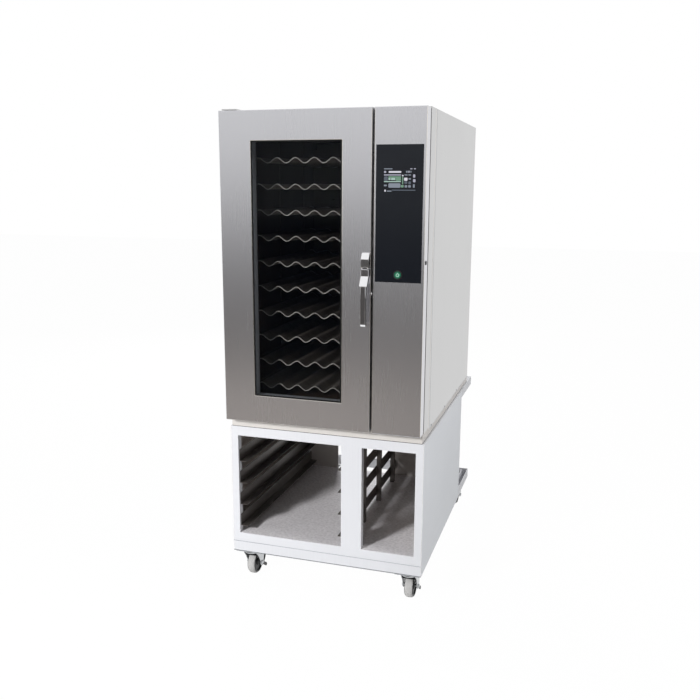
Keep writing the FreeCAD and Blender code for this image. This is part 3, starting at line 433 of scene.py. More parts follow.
def add_prism(bm: BMesh, outline: Sequence[Sequence[float]], axis: Axis, start: float,
              end: float) -> list[BMFace]:
    """Add a closed prism between two stations of an axis.

    Args:
        bm: Mesh under construction.
        outline: Corners in order, in the next two axes: (y, z), (z, x) or (x, y).
        axis: Frame axis that the prism runs along.
        start: Station of one end.
        end: Station of the other end.

    Returns:
        The new faces.
    """
    a = axis.value
    ends = []
    for station in (start, end):
        ring = []
        for pair in outline:
            place = [0.0, 0.0, 0.0]
            place[a], place[(a + 1) % 3], place[(a + 2) % 3] = station, *pair
            ring.append(bm.verts.new(place))
        ends.append(ring)
    faces = [bm.faces.new(ends[0]), bm.faces.new(list(reversed(ends[1])))]
    for i in range(len(outline)):
        j = (i + 1) % len(outline)
        faces.append(bm.faces.new((ends[0][j], ends[0][i], ends[1][i], ends[1][j])))
    return faces


def add_lathe(bm: BMesh, profile: Sequence[Pair], centre: Sequence[float], axis: Axis,
              steps: int = 48) -> None:
    """Add a turned body whose closed profile is (distance from axis, place along axis).

    Args:
        bm: Mesh under construction.
        profile: Closed ring of points, or an open one that ends on the axis.
        centre: Point on the axis from which places are counted.
        axis: Frame axis that the body turns on.
        steps: Facets round the axis.
    """
    a = axis.value
    b, c = (a + 1) % 3, (a + 2) % 3
    rings = []
    for radius, along in profile:
        ring = []
        for i in range(steps):
            angle = 2 * math.pi * i / steps
            place = list(centre)
            place[a] += along
            place[b] += radius * math.cos(angle)
            place[c] += radius * math.sin(angle)
            ring.append(bm.verts.new(place))
        rings.append(ring)
    closed = profile[0][0] > 0 and profile[-1][0] > 0
    for i in range(len(rings) if closed else len(rings) - 1):
        one, two = rings[i], rings[(i + 1) % len(rings)]
        for k in range(steps):
            n = (k + 1) % steps
            bm.faces.new((one[k], one[n], two[n], two[k]))


MERGE = 1e-6
ROUND_OVER_DEG = 30
SMOOTH_UNDER_DEG = 40
SMALL_FACE = 4e-5
WIRE_SMOOTH_DEG = 50
WIRE_FACETS = 10


def finish_mesh(bm: BMesh, name: str, bevel_mm: float = 0.0, segments: int = 3) -> Mesh:
    """Close a mesh under construction: outward faces, rounded edges and smooth shading.

    Args:
        bm: Mesh under construction; it is freed.
        name: Name of the result.
        bevel_mm: Width of the rounding on sharp edges, or nothing.
        segments: Steps of the rounding.

    Returns:
        The finished mesh.
    """
    bmesh.ops.remove_doubles(bm, verts=bm.verts, dist=MERGE)
    bmesh.ops.recalc_face_normals(bm, faces=bm.faces)
    soft: set[BMFace] = set(bm.faces)
    if bevel_mm:
        limit = math.radians(ROUND_OVER_DEG)
        sharp = [e for e in bm.edges if len(e.link_faces) == 2 and e.calc_face_angle(0.0) > limit]
        soft = set(bmesh.ops.bevel(bm, geom=sharp, offset=bevel_mm * MM, segments=segments, profile=0.5,
                                   affect="EDGES", clamp_overlap=True)["faces"])
        soft.update(face for face in bm.faces if face.calc_area() < SMALL_FACE)
    for face in bm.faces:
        face.smooth = face in soft
    mesh = bpy.data.meshes.new(name)
    bm.to_mesh(mesh)
    bm.free()
    if not bevel_mm:
        mesh.set_sharp_from_angle(angle=math.radians(SMOOTH_UNDER_DEG))
    return mesh


def bake_nodes(name: str, group: NodeTree, source: Mesh, sizes: dict[str, Any]) -> Mesh:
    """Run a geometry node tree on a mesh and return the plain result.

    Args:
        name: Name of the result.
        group: Geometry node tree with named inputs.
        source: Mesh that goes into it.
        sizes: Values of its inputs, by their names.

    Returns:
        A plain mesh.
    """
    carrier = bpy.data.objects.new(name + "_carrier", source)
    bpy.context.scene.collection.objects.link(carrier)
    modifier = carrier.modifiers.new("nodes", "NODES")
    modifier.node_group = group
    names = {item.name: item.identifier for item in group.interface.items_tree if item.in_out == "INPUT"}
    for key, value in sizes.items():
        modifier[names[key]] = value
    depsgraph = bpy.context.evaluated_depsgraph_get()
    mesh = bpy.data.meshes.new_from_object(carrier.evaluated_get(depsgraph))
    mesh.name = name
    carrier.modifiers.remove(modifier)
    bpy.data.objects.remove(carrier)
    return mesh


def new_group(name: str, sockets: Sequence[tuple[str, str, Any]]) -> tuple[NodeTree, Node]:
    """Open a geometry node tree with a geometry socket at each end and named inputs.

    Args:
        name: Name of the tree.
        sockets: Name, socket type and default of each input.

    Returns:
        The tree and its group input node.
    """
    group = bpy.data.node_groups.new(name, "GeometryNodeTree")
    group.interface.new_socket("Geometry", in_out="INPUT", socket_type="NodeSocketGeometry")
    for label, kind, default in sockets:
        item = group.interface.new_socket(label, in_out="INPUT", socket_type=kind)
        if default is not None:
            item.default_value = default
    group.interface.new_socket("Geometry", in_out="OUTPUT", socket_type="NodeSocketGeometry")
    return group, add_node(group, "NodeGroupInput")


def close_group(group: NodeTree, placed: Node, material: NodeSocket) -> None:
    """End a geometry node tree in realised instances with a material.

    Args:
        group: The tree.
        placed: Node that gives the instances.
        material: Socket with the material of the result.
    """
    real = add_node(group, "GeometryNodeRealizeInstances", inputs={"Geometry": placed})
    dressed = add_node(group, "GeometryNodeSetMaterial", inputs={"Geometry": real, "Material": material})
    add_node(group, "NodeGroupOutput", inputs={0: dressed})


@dataclass(frozen=True)
class Piece:
    """A piece's name, finish, material slot in the record, body, and the CAD nodes it stands for."""

    name: str
    finish: str
    slot: str
    body: str = ROOT
    replaced: tuple[str, ...] = ()


class Workshop:
    """The object's materials and node trees, and the ways in which a piece is made with them."""

    def __init__(self) -> None:
        """Make every finish and both node trees once."""
        self.made: dict[str, Material] = {finish.name: finish.material() for finish in FINISHES}
        self.edges, self.forms = self.edge_tree(), self.form_tree()

    def edge_tree(self) -> NodeTree:
        """Build the tree that runs round wire along paths and repeats it on a pitch.

        Returns:
            The tree.
        """
        group, given = new_group("rolled_edge", (
            ("Radius", "NodeSocketFloat", 0.002), ("Levels", "NodeSocketInt", 1),
            ("Pitch", "NodeSocketVector", (0.0, 0.0, 0.1)), ("Finish", "NodeSocketMaterial", None)))
        path = add_node(group, "GeometryNodeMeshToCurve", inputs={"Mesh": given.outputs["Geometry"]})
        section = add_node(group, "GeometryNodeCurvePrimitiveCircle", inputs={
            "Resolution": WIRE_FACETS, "Radius": given.outputs["Radius"]})
        wire = add_node(group, "GeometryNodeCurveToMesh", inputs={
            "Curve": path, "Profile Curve": section, "Fill Caps": True})
        levels = add_node(group, "GeometryNodeMeshLine", inputs={
            "Count": given.outputs["Levels"], "Offset": given.outputs["Pitch"]})
        placed = add_node(group, "GeometryNodeInstanceOnPoints", inputs={
            "Points": levels, "Instance": wire})
        close_group(group, placed, given.outputs["Finish"])
        return group

    def form_tree(self) -> NodeTree:
        """Build the tree that puts one form on every point, turned to the point's facing.

        Returns:
            The tree.
        """
        group, given = new_group("repeated_form", (
            ("Form", "NodeSocketObject", None), ("Size", "NodeSocketFloat", 1.0),
            ("Finish", "NodeSocketMaterial", None)))
        facing = add_node(group, "GeometryNodeInputNamedAttribute", {"data_type": "FLOAT_VECTOR"},
                          {"Name": "facing"})
        turn = add_node(group, "FunctionNodeAlignRotationToVector", {"axis": "Z"}, {
            "Vector": facing})
        form = add_node(group, "GeometryNodeObjectInfo", inputs={"Object": given.outputs["Form"]})
        placed = add_node(group, "GeometryNodeInstanceOnPoints", inputs={
            "Points": given.outputs["Geometry"], "Instance": form.outputs["Geometry"],
            "Rotation": turn, "Scale": given.outputs["Size"]})
        close_group(group, placed, given.outputs["Finish"])
        return group

    def dress(self, finish: str, nodes: Sequence[str]) -> None:
        """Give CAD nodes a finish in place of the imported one.

        Args:
            finish: Name of the finish.
            nodes: CAD nodes that take it.
        """
        for node in nodes:
            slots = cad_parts[node].data.materials
            slots.clear()
            slots.append(self.made[finish])
            LOG.info("%s: %s", node, finish)

    def add(self, piece: Piece, mesh: Mesh) -> None:
        """Put a finished mesh into the scene, riding on its body.

        Args:
            piece: What the piece is.
            mesh: Its mesh, in the frame's own coordinates.
        """
        mesh.materials.clear()
        mesh.materials.append(self.made[piece.finish])
        made = bpy.data.objects.new(piece.name, mesh)
        bpy.context.scene.collection.objects.link(made)
        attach(made, piece.body)
        if piece.replaced:
            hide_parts(*piece.replaced)
        LOG.info("%s rides on %s", piece.name, piece.body)

    def close(self, piece: Piece, bm: BMesh, bevel_mm: float = 0.0, segments: int = 3) -> None:
        """Add a piece from a mesh under construction, with its sharp edges rounded if a width is given."""
        self.add(piece, finish_mesh(bm, piece.name, bevel_mm, segments))

    def wire(self, piece: Piece, paths: Sequence[Sequence[Point]], radius_mm: float, closed: bool = False,
             levels: int = 1, pitch: float = 0.1) -> None:
        """Add a piece that is round wire along paths.

        Args:
            piece: What the piece is.
            paths: Points of each path.
            radius_mm: Radius of the wire.
            closed: Whether each path ends where it starts.
            levels: How many times it repeats upwards.
            pitch: Step from one level to the next.
        """
        verts: list[Point] = []
        edges: list[tuple[int, int]] = []
        for points in paths:
            first = len(verts)
            verts += points
            edges += [(i, i + 1) for i in range(first, len(verts) - 1)]
            if closed:
                edges.append((len(verts) - 1, first))
        source = bpy.data.meshes.new(piece.name + "_path")
        source.from_pydata(verts, edges, [])
        mesh = bake_nodes(piece.name, self.edges, source, {
            "Radius": radius_mm * MM, "Levels": levels, "Pitch": (0.0, 0.0, pitch),
            "Finish": self.made[piece.finish]})
        mesh.shade_smooth()
        mesh.set_sharp_from_angle(angle=math.radians(WIRE_SMOOTH_DEG))
        self.add(piece, mesh)

    def scatter(self, piece: Piece, form: Mesh, places: Sequence[tuple[Point, Point]],
                size: float = 1.0) -> None:
        """Add a piece that is one form on every place.

        Args:
            piece: What the piece is.
            form: Mesh of one form, at the origin and facing up.
            places: Point and facing of each.
            size: Their scale.
        """
        source = bpy.data.meshes.new(piece.name + "_places")
        source.from_pydata([place for place, _ in places], [], [])
        facing = source.attributes.new("facing", "FLOAT_VECTOR", "POINT")
        for i, (_, way) in enumerate(places):
            facing.data[i].vector = way
        pattern = bpy.data.objects.new(piece.name + "_form", form)
        mesh = bake_nodes(piece.name, self.forms, source, {
            "Form": pattern, "Size": size, "Finish": self.made[piece.finish]})
        bpy.data.objects.remove(pattern)
        self.add(piece, mesh)


class CardUse(Enum):
    """What a card on the studio floor acts on."""

    REFLECTION = "glossy"
    BOUNCE = "diffuse"


@dataclass
class Studio:
    """Pale floor, soft light, white surround, cards for the reflections, and the photograph's camera."""

    camera_at: Point = (0.987, -3.392, 1.645)
    # Yaw, pitch and roll.
    turn_deg: Point = (17.17, -11.54, 0.31)
    lens_mm: float = 40.67
    sensor_mm: float = 36.0
    white: str = "#FFFFFF"
    surround_light: float = 0.14
    floor_half: float = 20.0
    floor_colour: str = "#F4F4F4"
    floor_white: float = 0.985
    matt: float = 0.9
    # Near, middle and far edges of the two cards that the steel reflects.
    card_y: Point = (-1.4, -4.6, -40.0)
    card_z: float = 0.004
    card_colours: tuple[str, str] = ("#847E78", "#4E4A48")
    # Edges of the flag that keeps the floor's bounce off the right side.
    flag_x: Pair = (0.45, 6.0)
    flag_y: Pair = (-0.9, 6.0)
    flag_colour: str = "#303030"
    aim: Point = (0.0, 0.0, 0.95)
    # Place, watts and side of each lamp: a low key light front left, soft boxes right and rear left.
    lamps: ClassVar[dict[str, tuple[Point, float, float]]] = {
        "key_light": ((-1.75, -4.3, 2.4), 210.0, 0.6),
        "right_soft_box": ((4.2, -0.4, 4.2), 180.0, 2.6),
        "rear_soft_box": ((-2.6, 4.4, 3.0), 190.0, 2.6),
    }

    def build(self) -> None:
        """Build everything round the object, and show colours as they are written."""
        bpy.context.scene.view_settings.view_transform = "Standard"
        self.build_world()
        self.build_floor()
        wide, (near, middle, far) = (-self.floor_half, self.floor_half), self.card_y
        self.build_card("near_card", wide, (middle, near), self.card_colours[0], CardUse.REFLECTION)
        self.build_card("far_card", wide, (far, middle), self.card_colours[1], CardUse.REFLECTION)
        self.build_card("right_flag", self.flag_x, self.flag_y, self.flag_colour, CardUse.BOUNCE)
        for name, (place, watts, size) in self.lamps.items():
            self.add_lamp(name, place, watts, size)
        self.build_camera()

    def shown(self, tree: NodeTree) -> Node:
        """Tell rays of sight, gloss and glass from those that only carry light.

        Args:
            tree: Tree that asks.

        Returns:
            A node that gives 1 for the first kind and 0 for the second.
        """
        path = add_node(tree, "ShaderNodeLightPath")
        seen = add_node(tree, "ShaderNodeMath", {"operation": "MAXIMUM"}, {
            0: path.outputs["Is Camera Ray"], 1: path.outputs["Is Transmission Ray"]})
        return add_node(tree, "ShaderNodeMath", {"operation": "MAXIMUM"}, {
            0: seen, 1: path.outputs["Is Glossy Ray"]})

    def build_world(self) -> None:
        """Surround that is white to sight, gloss and glass and gentler as a light."""
        world = bpy.data.worlds.new("white_surround")
        bpy.context.scene.world = world
        world.use_nodes = True
        tree = world.node_tree
        tree.nodes.clear()
        strength = add_node(tree, "ShaderNodeMapRange", inputs={
            "Value": self.shown(tree), "To Min": self.surround_light, "To Max": 1.0})
        light = add_node(tree, "ShaderNodeBackground", inputs={
            "Color": linear(self.white), "Strength": strength})
        add_node(tree, "ShaderNodeOutputWorld", inputs={"Surface": light})

    def lay(self, name: str, across: Pair, deep: Pair, z: float, material: Material) -> Object:
        """Lay a flat sheet that is part of the stage.

        Args:
            name: Name of the sheet.
            across: Its two edges in x.
            deep: Its two edges in y.
            z: Its height.
            material: Its material.

        Returns:
            The sheet.
        """
        (x0, x1), (y0, y1) = across, deep
        mesh = bpy.data.meshes.new(name)
        mesh.from_pydata([(x0, y0, z), (x1, y0, z), (x1, y1, z), (x0, y1, z)], [], [(0, 1, 2, 3)])
        mesh.materials.append(material)
        sheet = bpy.data.objects.new(name, mesh)
        bpy.context.scene.collection.objects.link(sheet)
        return sheet

    def build_floor(self) -> None:
        """White floor that keeps a soft shadow."""
        material, tree, shader = Finish("white_studio_floor").start(
            Base_Color=linear(self.floor_colour), Roughness=self.matt)
        glow = add_node(tree, "ShaderNodeEmission", inputs={"Color": linear(self.white), "Strength": 1.0})
        share = add_node(tree, "ShaderNodeMath", {"operation": "MULTIPLY"}, {
            0: self.shown(tree), 1: self.floor_white})
        mixed = add_node(tree, "ShaderNodeMixShader", inputs={
            0: share, 1: shader, 2: glow})
        feed(tree, tree.nodes["Material Output"], {"Surface": mixed})
        wide = (-self.floor_half, self.floor_half)
        self.lay("studio_floor", wide, wide, 0.0, material)

    def build_card(self, name: str, across: Pair, deep: Pair, colour: str, use: CardUse) -> None:
        """Lay a matt card on the floor that only tones the steel's reflections, or the floor's bounce.

        Args:
            name: Name of the card.
            across: Its two edges in x.
            deep: Its two edges in y.
            colour: Its colour.
            use: What it acts on.
        """
        material = Finish(name).start(Base_Color=linear(colour), Roughness=self.matt)[0]
        card = self.lay(name, across, deep, self.card_z, material)
        card.visible_camera = card.visible_shadow = card.visible_transmission = False
        card.visible_glossy = use is CardUse.REFLECTION
        card.visible_diffuse = use is CardUse.BOUNCE

    def add_lamp(self, name: str, place: Point, watts: float, size: float) -> None:
        """Add one square lamp aimed at the middle of the object.

        Args:
            name: Name of the lamp.
            place: Where it hangs.
            watts: Its power.
            size: Length of its side.
        """
        data = bpy.data.lights.new(name, "AREA")
        data.energy, data.size = watts, size
        lamp = bpy.data.objects.new(name, data)
        lamp.location = place
        lamp.rotation_euler = (Vector(self.aim) - Vector(place)).to_track_quat("-Z", "Y").to_euler()
        lamp.visible_glossy = False
        bpy.context.scene.collection.objects.link(lamp)

    def build_camera(self) -> None:
        """Camera at the photograph's place, with its focal length and slight roll."""
        yaw, pitch, roll = (math.radians(d) for d in self.turn_deg)
        ahead = Vector((-math.sin(yaw) * math.cos(pitch), math.cos(yaw) * math.cos(pitch), math.sin(pitch)))
        level = Vector((math.cos(yaw), math.sin(yaw), 0))
        upright = level.cross(ahead)
        right = math.cos(roll) * level + math.sin(roll) * upright
        up = -math.sin(roll) * level + math.cos(roll) * upright
        data = bpy.data.cameras.new("photo_camera")
        data.sensor_width, data.lens = self.sensor_mm, self.lens_mm
        camera = bpy.data.objects.new("photo_camera", data)
        turn = Matrix((right, up, -ahead)).transposed().to_4x4()
        camera.matrix_world = Matrix.Translation(self.camera_at) @ turn
        bpy.context.scene.collection.objects.link(camera)
        bpy.context.scene.camera = camera


@dataclass
class Assembly:
    """One sub-assembly: the workshop that makes it, and the finishes of its CAD nodes."""

    shop: Workshop
    finishes: ClassVar[dict[str, tuple[str, ...]]] = {}

    def dress(self) -> None:
        """Give the CAD nodes their finishes."""
        for finish, nodes in self.finishes.items():
            self.shop.dress(finish, nodes)

    def build(self) -> None:
        """Build the pieces; each sub-assembly has its own."""
        raise NotImplementedError


@dataclass
class Stand(Assembly):
    """White satin frame on wheels, with dull sheet inside it painted for the light and shade there, a sealed
    seam on its front and a painted shadow line under its base rail.
    """

    finishes = {
        "satin_stainless_stand": ("stand_top_frame", "stand_base_frame", "stand_posts", "stand_center_post"),
        "satin_stainless_stand_side": ("stand_side_panels",),
        "satin_stainless_shelf": ("stand_base_shelf",),
        "mill_stainless_sheet": ("stand_back_panel",),
        "mill_stainless_runner": ("stand_runners", "stand_rack_uprights"),
    }
    seam_mm: float = 1.3
    hem_mm: float = 2.0
    hem_sunk: float = 0.4

    def build(self) -> None:
        """Build the sealed seam over the base rail, and under it a dark bead that paints the rail's shadow
        line.
        """
        low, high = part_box("stand_base_frame")
        self.shop.wire(Piece("stand_seam", "grey_joint_sealant", "stainless_pale"),
                       [[(low.x, low.y, high.z), (high.x, low.y, high.z)]], self.seam_mm)
        # The hem is a painted shadow: a dark bead just proud of the rail's lower front edge stands for the
        # shade there.
        inset = self.hem_sunk * self.hem_mm * MM
        y, z = low.y + inset, low.z + inset
        self.shop.wire(Piece("stand_hem", "shadow_line_grey", "stainless_pale"),
                       [[(low.x, y, z), (high.x, y, z)]], self.hem_mm)


@dataclass
class Castor(Assembly):
    """One castor: a zinc fork, a black cover, and a wheel with a rubber tread on a moulded core."""

    corner: str
    wheel_steps: int = 56
    tread_mm: float = 7.0
    side_mm: float = 2.2
    # Round shoulder of the tread, in from its outside and in from its edge.
    shoulder_mm: tuple[Pair, ...] = ((5.5, 0.0), (3.6, 1.2), (1.7, 3.6), (0.5, 7.0))
    flat_share: float = 0.25
    bore_mm: float = 6.2
    hub_mm: float = 15.0
    hub_round_mm: float = 1.0
    dish_mm: float = 5.0
    dish_share: float = 0.7
    # Rim of the core, in from the wheel's outside and in from its face.
    rim_mm: tuple[Pair, ...] = ((12.0, 0.6), (7.5, 0.0), (6.0, 0.7), (5.6, 2.4), (6.5, 2.4))
    crown_mm: float = 32.0
    crown_high_mm: float = 17.0
    crown_round_mm: float = 2.0
    kingpin_mm: float = 8.2
    trail_mm: float = 32.0
    sheet_mm: float = 4.0
    boss_mm: float = 13.0
    boss_inset_mm: float = 0.2
    axle_mm: float = 6.0
    # Radius and height of the axle's nuts.
    nut_mm: Pair = (8.5, 4.0)
    fork_round_mm: float = 0.7
    # One fork leg, behind the hub and above the floor.
    leg_mm: tuple[Pair, ...] = (
        (18.0, 60.0), (25.0, 92.0), (16.0, 120.0), (-47.0, 120.0), (-49.0, 108.0), (-30.0, 86.0),
        (-11.5, 54.0), (-12.0, 45.0), (-6.0, 38.5), (6.0, 38.5), (12.0, 45.0))
    # Inner and outer radius of the cover about the hub.
    cover_mm: Pair = (56.2, 58.8)
    cover_deg: Pair = (75.0, 130.0)
    cover_steps: int = 11
    cover_bite_mm: float = 0.5
    cover_round_mm: float = 0.6
    pedal_at_mm: float = 57.0
    pedal_deg: float = -34.0
    pedal_steps: int = 12
    pedal_arm_mm: float = 7.0
    pedal_pin_mm: float = 3.0
    pedal_inset_mm: float = 0.4
    # Section of the dust seal, out from the crown and below the fork's top.
    seal_mm: tuple[Pair, ...] = ((-0.5, -12.0), (1.0, -11.5), (2.0, -9.0), (2.0, -5.0), (1.0, -2.5),
                                 (-0.5, -2.0))

    def __post_init__(self) -> None:
        """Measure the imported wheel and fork."""
        low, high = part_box("castor_wheel_" + self.corner)
        self.body, self.half = "castor_" + self.corner, (high.x - low.x) / 2
        self.hub = Vector(((low.x + high.x) / 2, (low.y + high.y) / 2, high.z / 2))
        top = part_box("castor_fork_" + self.corner)[1]
        self.crown: Point = (self.hub.x, self.hub.y - self.trail_mm * MM, top.z)
        self.outer = top.x - self.hub.x
        self.inner = self.outer - self.sheet_mm * MM

    def build(self) -> None:
        """Build the wheel, the fork, the cover and the bearing's seal."""
        self.build_wheel()
        self.build_fork()
        self.build_cover()
        self.build_seal()

    def build_wheel(self) -> None:
        """Turn the tread and the dished core."""
        outer, half, soft, boss = self.hub.z, self.half, self.hub_round_mm * MM, self.hub_mm * MM
        edge, face = half - self.side_mm * MM, half - self.dish_mm * MM
        shoulder = [(outer - r * MM, edge - x * MM) for r, x in self.shoulder_mm]
        rim = [(outer - r * MM, half - x * MM) for r, x in self.rim_mm]
        tread = [(outer - self.tread_mm * MM, edge), *shoulder, (outer, self.flat_share * half)]
        core = [(self.bore_mm * MM, half), (boss - soft, half), (boss, half - soft), (boss + 2 * soft, face),
                (self.dish_share * outer, face), *rim]
        replaced = ("castor_wheel_" + self.corner,)
        for name, side, finish, slot, nodes in (
                ("wheel_tread_", tread, "moulded_grey_rubber", "wheel_grey", replaced),
                ("wheel_core_", core, "black_enamel", "castor_black", ())):
            ring = side + [(r, -x) for r, x in reversed(side)]
            bm = bmesh.new()
            add_lathe(bm, ring, self.hub, Axis.ACROSS, self.wheel_steps)
            self.shop.close(Piece(name + self.corner, finish, slot, "wheel_" + self.corner, nodes), bm)

    def build_fork(self) -> None:
        """Build the turned crown, the two pressed legs and the axle with its nuts."""
        hub, outer, sheet = self.hub, self.outer, self.sheet_mm * MM
        boss, inset = self.boss_mm * MM, self.boss_inset_mm * MM
        wide, deep, bore = self.crown_mm * MM, self.crown_high_mm * MM, self.kingpin_mm * MM
        soft, (nut, proud) = self.crown_round_mm * MM, (v * MM for v in self.nut_mm)
        bm = bmesh.new()
        add_lathe(bm, [(bore, -deep), (wide - soft, -deep), (wide, soft - deep), (wide, -soft),
                       (wide - soft, 0.0), (bore, 0.0)], self.crown, Axis.UPRIGHT)
        leg = [(hub.y + y * MM, z * MM) for y, z in self.leg_mm]
        for x in (hub.x - outer, hub.x + outer - sheet):
            add_prism(bm, leg, Axis.ACROSS, x, x + sheet)
            add_lathe(bm, rod(boss, inset, sheet - inset), (x, hub.y, hub.z), Axis.ACROSS, steps=32)
        for x in (hub.x - outer - proud, hub.x + outer):
            add_prism(bm, arc((hub.y, hub.z), nut, *HEXAGON), Axis.ACROSS, x, x + proud)
        add_lathe(bm, rod(self.axle_mm * MM, -outer, outer), hub, Axis.ACROSS, steps=24)
        self.shop.close(Piece("castor_fork_steel_" + self.corner, "bright_zinc_plate", "zinc_plated",
                              self.body, ("castor_fork_" + self.corner,)), bm, self.fork_round_mm, 2)

    def build_cover(self) -> None:
        """Build the black thread guard over the wheel and, on a braked castor, the pedal's arms."""
        reach = self.inner + self.cover_bite_mm * MM
        (near, far), (first, last), middle = self.cover_mm, self.cover_deg, (self.hub.y, self.hub.z)
        band = arc(middle, far * MM, first, last, self.cover_steps)
        band += arc(middle, near * MM, last, first, self.cover_steps)
        bm = bmesh.new()
        add_prism(bm, band, Axis.ACROSS, self.hub.x - reach, self.hub.x + reach)
        if self.corner.startswith("front"):
            self.add_arms(bm)
        self.shop.close(Piece("castor_cover_" + self.corner, "black_enamel", "castor_black", self.body), bm,
                        self.cover_round_mm, 2)

    def add_arms(self, bm: BMesh) -> None:
        """Add the two arms and the pin that carry a brake pedal.

        Args:
            bm: Mesh under construction.
        """
        hub, outer, turn, wide = self.hub, self.outer, self.pedal_deg, self.pedal_arm_mm * MM
        middle, inset = (hub.y, hub.z), self.pedal_inset_mm * MM
        pin = arc(middle, self.pedal_at_mm * MM, turn, turn, 1)[0]
        # The arm's end is round about the pin, and its sides run back to the hub.
        outline = arc(pin, wide, turn - 90, turn + 90, self.pedal_steps)
        outline += arc(middle, wide, turn + 90, turn - 90, 1)
        for x in (hub.x - outer + inset, hub.x + self.inner + inset):
            add_prism(bm, outline, Axis.ACROSS, x, x + self.sheet_mm * MM - 2 * inset)
        add_lathe(bm, rod(self.pedal_pin_mm * MM, -outer, outer), (hub.x, *pin), Axis.ACROSS, steps=16)

    def build_seal(self) -> None:
        """Turn the dust seal round the bearing."""
        ring = [((self.crown_mm + r) * MM, z * MM) for r, z in self.seal_mm]
        bm = bmesh.new()
        add_lathe(bm, ring, self.crown, Axis.UPRIGHT)
        self.shop.close(Piece("bearing_seal_" + self.corner, "black_enamel", "castor_black", self.body), bm)


@dataclass
class Castors(Assembly):
    """The four castors under their bolted plates, the front two with black brake pedals."""

    finishes = {
        "bright_zinc_plate": ("castor_plates",),
        "black_enamel": ("castor_brake_front_left", "castor_brake_front_right"),
    }
    corners: ClassVar[tuple[str, ...]] = ("front_left", "front_right", "rear_left", "rear_right")
    plate_mm: float = 6.0
    bolt_mm: float = 6.5
    # Foot and top of a bolt's head.
    bolt_rise_mm: Pair = (1.0, 4.5)
    bolt_round_mm: float = 0.5
    bolt_reach_mm: float = 38.0
    washer: float = 1.35
    washer_mm: float = 1.2

    def build(self) -> None:
        """Build each castor, and the bolts of all plates."""
        bolts: list[tuple[Point, Point]] = []
        top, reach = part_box("castor_plates")[1].z - self.plate_mm * MM, self.bolt_reach_mm * MM
        for corner in self.corners:
            castor = Castor(self.shop, corner)
            castor.build()
            x, y, _ = castor.crown
            bolts += [((x + i, y + j, top), DOWN) for i in (-reach, reach) for j in (-reach, reach)]
        self.shop.scatter(Piece("castor_bolts", "bright_zinc_plate", "zinc_plated"), self.bolt_head(), bolts)

    def bolt_head(self) -> Mesh:
        """Build a hexagon head on a washer, facing up.

        Returns:
            Its mesh.
        """
        r, (low, high) = self.bolt_mm * MM, (v * MM for v in self.bolt_rise_mm)
        bm = bmesh.new()
        add_lathe(bm, rod(self.washer * r, 0.0, self.washer_mm * MM), ORIGIN, Axis.UPRIGHT, steps=20)
        add_prism(bm, arc(ORIGIN, r, *HEXAGON), Axis.UPRIGHT, low, high)
        return finish_mesh(bm, "bolt_head", self.bolt_round_mm, 1)


